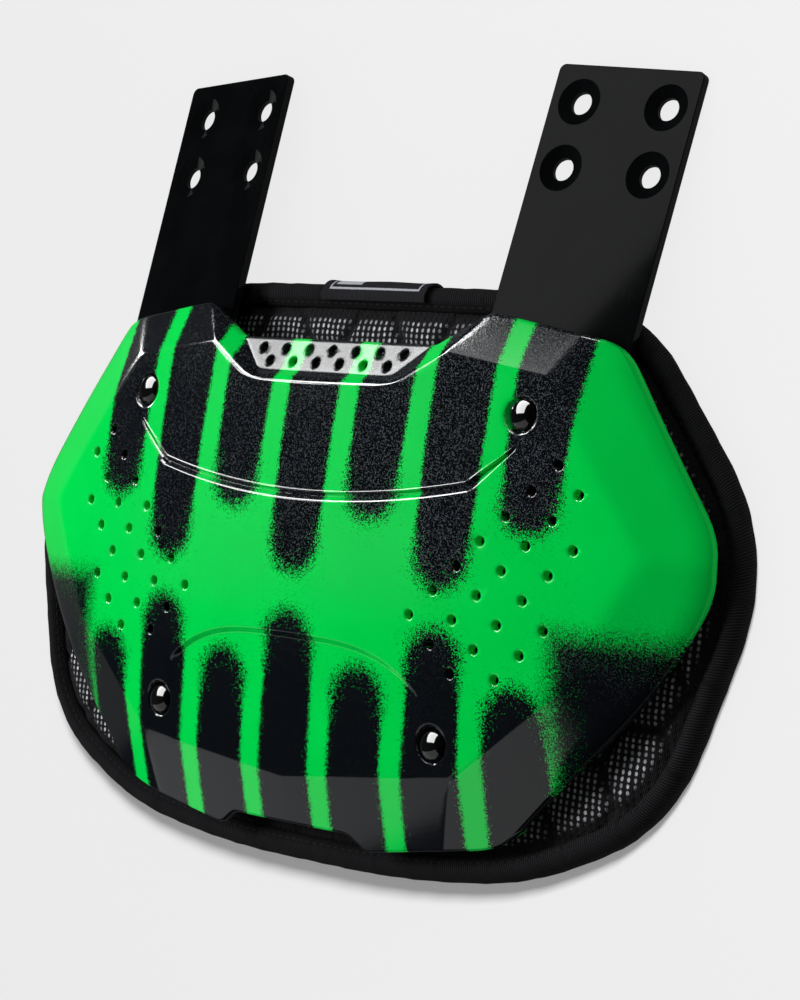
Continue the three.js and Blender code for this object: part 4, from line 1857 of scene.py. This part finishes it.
@dataclass
class Label:
    """The woven label folded over the roll at the middle of the top edge."""

    width: float = 44.0
    thickness: float = 0.7
    turn_deg: float = 105.0
    clearance: float = 0.3
    looseness: float = 0.2
    wave: float = 0.125
    waves: float = 9.0
    end_lift: float = 0.175
    end_from: float = 0.8
    columns: int = 60
    rows: int = 40
    sharp_deg: float = 50.0

    def length(self, roll: Binding) -> float:
        """Returns the label's length along its fold."""
        return (roll.radius + self.clearance) * 2 * math.radians(self.turn_deg)

    def build(self, roll: Binding, pad: Pad) -> bpy.types.Object:
        """Models the label.

        Args:
            roll: the roll that it is folded over.
            pad: the pad, which gives the height of the roll's middle line.

        Returns:
            The finished mesh object, laid on the floor.
        """
        label = added("label_folded", bpy.ops.mesh.primitive_grid_add, x_subdivisions=self.columns,
                      y_subdivisions=self.rows, size=1.0, calc_uvs=True)
        across, along, _ = points_of(label).T
        turn = along * 2 * math.radians(self.turn_deg)
        slack = self.wave * np.sin(across * self.waves + 1.0) * (1 - np.abs(along) * 2)
        slack += self.end_lift * ease(np.abs(across) * 2, self.end_from, 1.0)
        reach = roll.radius + self.clearance + self.looseness + slack
        top = float(rounded_outline(ROLL_CORNERS)[:, 1].max())
        spot = np.column_stack([across * self.width, top + reach * np.cos(turn), -reach * np.sin(turn)])
        spot[:, 2] += pad.middle(0.0, top)
        move_points(label, spot * MM)
        face_outwards(label)
        apply_modifier(label, "SOLIDIFY", thickness=self.thickness * MM, offset=1.0)
        smooth_shade(label, self.sharp_deg)
        POSE.lay(label)
        return label

    def dress(self, label: bpy.types.Object, roll: Binding, effects: Effects) -> None:
        """Gives the label its weave."""
        length = self.length(roll)
        weave = LabelFinish("label_weave", color=(0.006, 0.006, 0.007, 1.0), lit_ridge=(0.03, 0.03, 0.033, 1.0),
                            length=self.width, girth=length, pitch=0.55, loop=0.5, depth=0.1)
        hand_over(label, Slot.LABEL, weave.material(effects), "label")


# Studio


class Reach(Enum):
    """What a light is seen by."""

    CLOTH = "the soft light that the colours show in, without a mirror image"
    GLOSS = "a card that only shows as a reflection"


class Lit(Enum):
    """What a light falls on, by the first words of the pieces' names."""

    PLATE = ("shell_", "strap_", "rivet_", "pad_", "binding_", "label_")
    SHELL = ("shell_",)
    LEFT_STRAP = ("strap_left",)
    RIGHT_STRAP = ("strap_right",)
    CUSHION = ("pad_", "binding_")
    RIVETS = ("rivet_",)
    FLOOR = ("studio_floor",)

    def group(self) -> bpy.types.Collection:
        """Returns the collection of these pieces, which is made at the first call."""
        name = f"lit_{self.name.lower()}"
        made = bpy.data.collections.get(name)
        if made is None:
            made = bpy.data.collections.new(name)
            for piece in bpy.context.scene.objects:
                if piece.name.startswith(self.value):
                    made.objects.link(piece)
        return made


@dataclass(frozen=True)
class Softbox:
    """A flat soft light.

    Attributes:
        name: the light's name.
        reach: what it is seen by.
        lit: what it falls on.
        direction: where it stands, seen from the plate.
        distance: how far away it stands, in metres.
        size: its width across the plate and its height up the plate, in metres.
        glow: how bright its face is.
        roll_deg: how far it is turned in its own plane.
        shaded_by: the only pieces that cast shadows in it, or None for all of them.
    """

    name: str
    reach: Reach
    lit: Lit
    direction: tuple[float, float, float]
    distance: float
    size: tuple[float, float]
    glow: float
    roll_deg: float = 0.0
    shaded_by: Lit | None = None

    def build(self) -> bpy.types.Object:
        """Places the light, facing the plate, and returns it."""
        data = bpy.data.lights.new(self.name, "AREA")
        data.shape = "RECTANGLE"
        data.size, data.size_y = self.size
        data.energy = self.glow * math.pi * self.size[0] * self.size[1]
        data.use_shadow = self.reach is Reach.CLOTH
        lamp = bpy.data.objects.new(self.name, data)
        away = Vector(self.direction).normalized()
        lamp.location = away * self.distance
        up = (Vector((0.0, 1.0, 0.0)) - away * away.y).normalized()
        facing = Matrix((up.cross(away), up, away)).transposed()
        lamp.rotation_euler = (facing @ Matrix.Rotation(math.radians(self.roll_deg), 3, "Z")).to_euler()
        lamp.visible_diffuse = self.reach is Reach.CLOTH
        lamp.visible_glossy = self.reach is Reach.GLOSS
        lamp.light_linking.receiver_collection = self.lit.group()
        if self.shaded_by is not None:
            lamp.light_linking.blocker_collection = self.shaded_by.group()
        bpy.context.scene.collection.objects.link(lamp)
        return lamp


@dataclass
class Studio:
    """The pale floor, the soft lights and the camera."""

    floor_size: float = 8.0
    floor_color: tuple[float, ...] = (0.5, 0.5, 0.5, 1.0)
    floor_glow: float = 0.5
    floor_in_gloss: float = 0.12
    ambient: float = 0.12
    lens: float = 108.0
    camera_at: tuple[float, float, float] = (0.64237, -0.04863, 0.67267)
    camera_turn_deg: tuple[float, float, float] = (9.6804, 42.4483, 10.6778)
    lights: tuple[Softbox, ...] = (
        Softbox("floor_light", Reach.CLOTH, Lit.FLOOR, (0.44, 0.52, 0.73), 9.0, (2.6, 2.6), 57.8,
                shaded_by=Lit.CUSHION),
        Softbox("top_light", Reach.CLOTH, Lit.PLATE, (0.1, 0.8, 0.62), 2.4, (1.0, 0.7), 3.2),
        Softbox("left_light", Reach.CLOTH, Lit.PLATE, (-0.7, 0.12, 0.7), 2.4, (1.2, 1.2), 15.9),
        Softbox("recess_card", Reach.GLOSS, Lit.SHELL, (-0.64, 0.53, 0.555), 2.0, (0.42, 0.56), 26.0),
        Softbox("lip_card", Reach.GLOSS, Lit.SHELL, (-0.12, 0.82, 0.56), 2.0, (0.6, 0.5), 20.0),
        Softbox("tab_card", Reach.GLOSS, Lit.SHELL, (-0.44, 0.567, 0.7), 2.0, (0.8, 0.27), 2.0,
                roll_deg=11.5),
        Softbox("groove_card", Reach.GLOSS, Lit.SHELL, (-0.765, 0.315, 0.56), 2.0, (0.6, 0.2), 20.0,
                roll_deg=-28.7),
        Softbox("vent_card", Reach.GLOSS, Lit.SHELL, (-0.94, 0.262, 0.2), 2.0, (0.42, 0.15), 40.0),
        Softbox("hem_card", Reach.GLOSS, Lit.SHELL, (-0.69, -0.52, 0.5), 2.2, (2.0, 0.5), 0.6),
        Softbox("corner_card", Reach.GLOSS, Lit.SHELL, (-0.24, -0.63, 0.74), 2.2, (0.7, 0.5), 0.7),
        Softbox("flank_card", Reach.GLOSS, Lit.SHELL, (-1.0, -0.1, 0.12), 2.2, (0.5, 1.2), 0.11),
        Softbox("strap_card", Reach.GLOSS, Lit.RIGHT_STRAP, (-0.449, 0.475, 0.757), 2.03, (0.4, 0.6), 0.4,
                roll_deg=-23.0),
        Softbox("dish_card", Reach.GLOSS, Lit.LEFT_STRAP, (-0.985, 0.07, 0.14), 2.0, (0.8, 0.8), 0.2),
        Softbox("rivet_card", Reach.GLOSS, Lit.RIVETS, (-0.34, 0.74, 0.58), 2.0, (1.9, 4.0), 18.0,
                roll_deg=8.4),
        Softbox("rivet_low_card", Reach.GLOSS, Lit.RIVETS, (-0.3, -0.85, 0.4), 2.0, (4.0, 2.4), 0.8),
    )

    def build(self) -> None:
        """Sets up the floor, the world and the camera."""
        self.lay_floor()
        self.fill_world()
        self.place_camera()

    def lay_floor(self) -> None:
        """Lays the pale floor, which is dimmer in reflections."""
        floor = added("studio_floor", bpy.ops.mesh.primitive_plane_add, size=self.floor_size)
        graph, shader = new_finish("studio_floor")
        mirrored = graph.wire("ShaderNodeLightPath", "Is Glossy Ray")
        dim = tuple(part * self.floor_in_gloss for part in self.floor_color[:3]) + (1.0,)
        color = graph.blend(mirrored, self.floor_color, dim)
        graph.feed(shader.inputs["Base Color"], color)
        graph.feed(shader.inputs["Emission Color"], color)
        shader.inputs["Emission Strength"].default_value = self.floor_glow
        shader.inputs["Roughness"].default_value = 0.9
        shader.inputs["Specular IOR Level"].default_value = 0.1
        floor.data.materials.append(material_of(graph))

    def fill_world(self) -> None:
        """Fills the room with a faint even light."""
        scene = bpy.context.scene
        scene.world = bpy.data.worlds.new("studio")
        scene.world.use_nodes = True
        backdrop = next(n for n in scene.world.node_tree.nodes if n.type == "BACKGROUND")
        backdrop.inputs["Color"].default_value = (1.0, 1.0, 1.0, 1.0)
        backdrop.inputs["Strength"].default_value = self.ambient
        scene.world.cycles_visibility.glossy = False
        scene.view_settings.view_transform = "Standard"

    def place_camera(self) -> None:
        """Places the camera where the photograph was taken from."""
        scene = bpy.context.scene
        camera = bpy.data.objects.new("camera", bpy.data.cameras.new("camera"))
        camera.data.lens = self.lens
        camera.data.clip_start = 0.01
        camera.location = self.camera_at
        camera.rotation_euler = [math.radians(turn) for turn in self.camera_turn_deg]
        scene.collection.objects.link(camera)
        scene.camera = camera

    def light(self) -> None:
        """Sets up the lights round the finished pieces."""
        for light in self.lights:
            light.build()


def main() -> None:
    """Builds the studio and every piece in order."""
    logging.basicConfig(level=logging.INFO, format="%(message)s")
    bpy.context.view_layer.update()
    studio = Studio()
    studio.build()
    effects = Effects()
    shell, pad, roll, label = Shell(), Pad(), Binding(), Label()
    shell.dress(shell.build(), effects)
    strap_gloss = GlossFinish("strap_plastic", color=(0.0024, 0.0027, 0.0029, 1.0), roughness=0.045,
                              scuffed=0.03, ripple=0.002, ripple_size=14.0)
    rivet_gloss = GlossFinish("rivet_plastic", color=(0.004, 0.004, 0.0045, 1.0), roughness=0.05,
                              scuffed=0.05, ripple=0.006, ripple_size=4.0)
    strap_material, rivet_material = strap_gloss.material(effects), rivet_gloss.material(effects)
    for hand in Hand:
        strap = Strap(hand)
        strap.dress(strap.build(), strap_material)
        for seat in RIVET_SEATS:
            rivet = Rivet(seat, hand)
            rivet.dress(rivet.build(shell, pad), rivet_material)
    pad.dress(pad.build(), effects)
    roll.dress(roll.build(pad), roll.stitches(pad), effects)
    label.dress(label.build(roll, pad), roll, effects)
    studio.light()


if __name__ == "__main__":
    main()
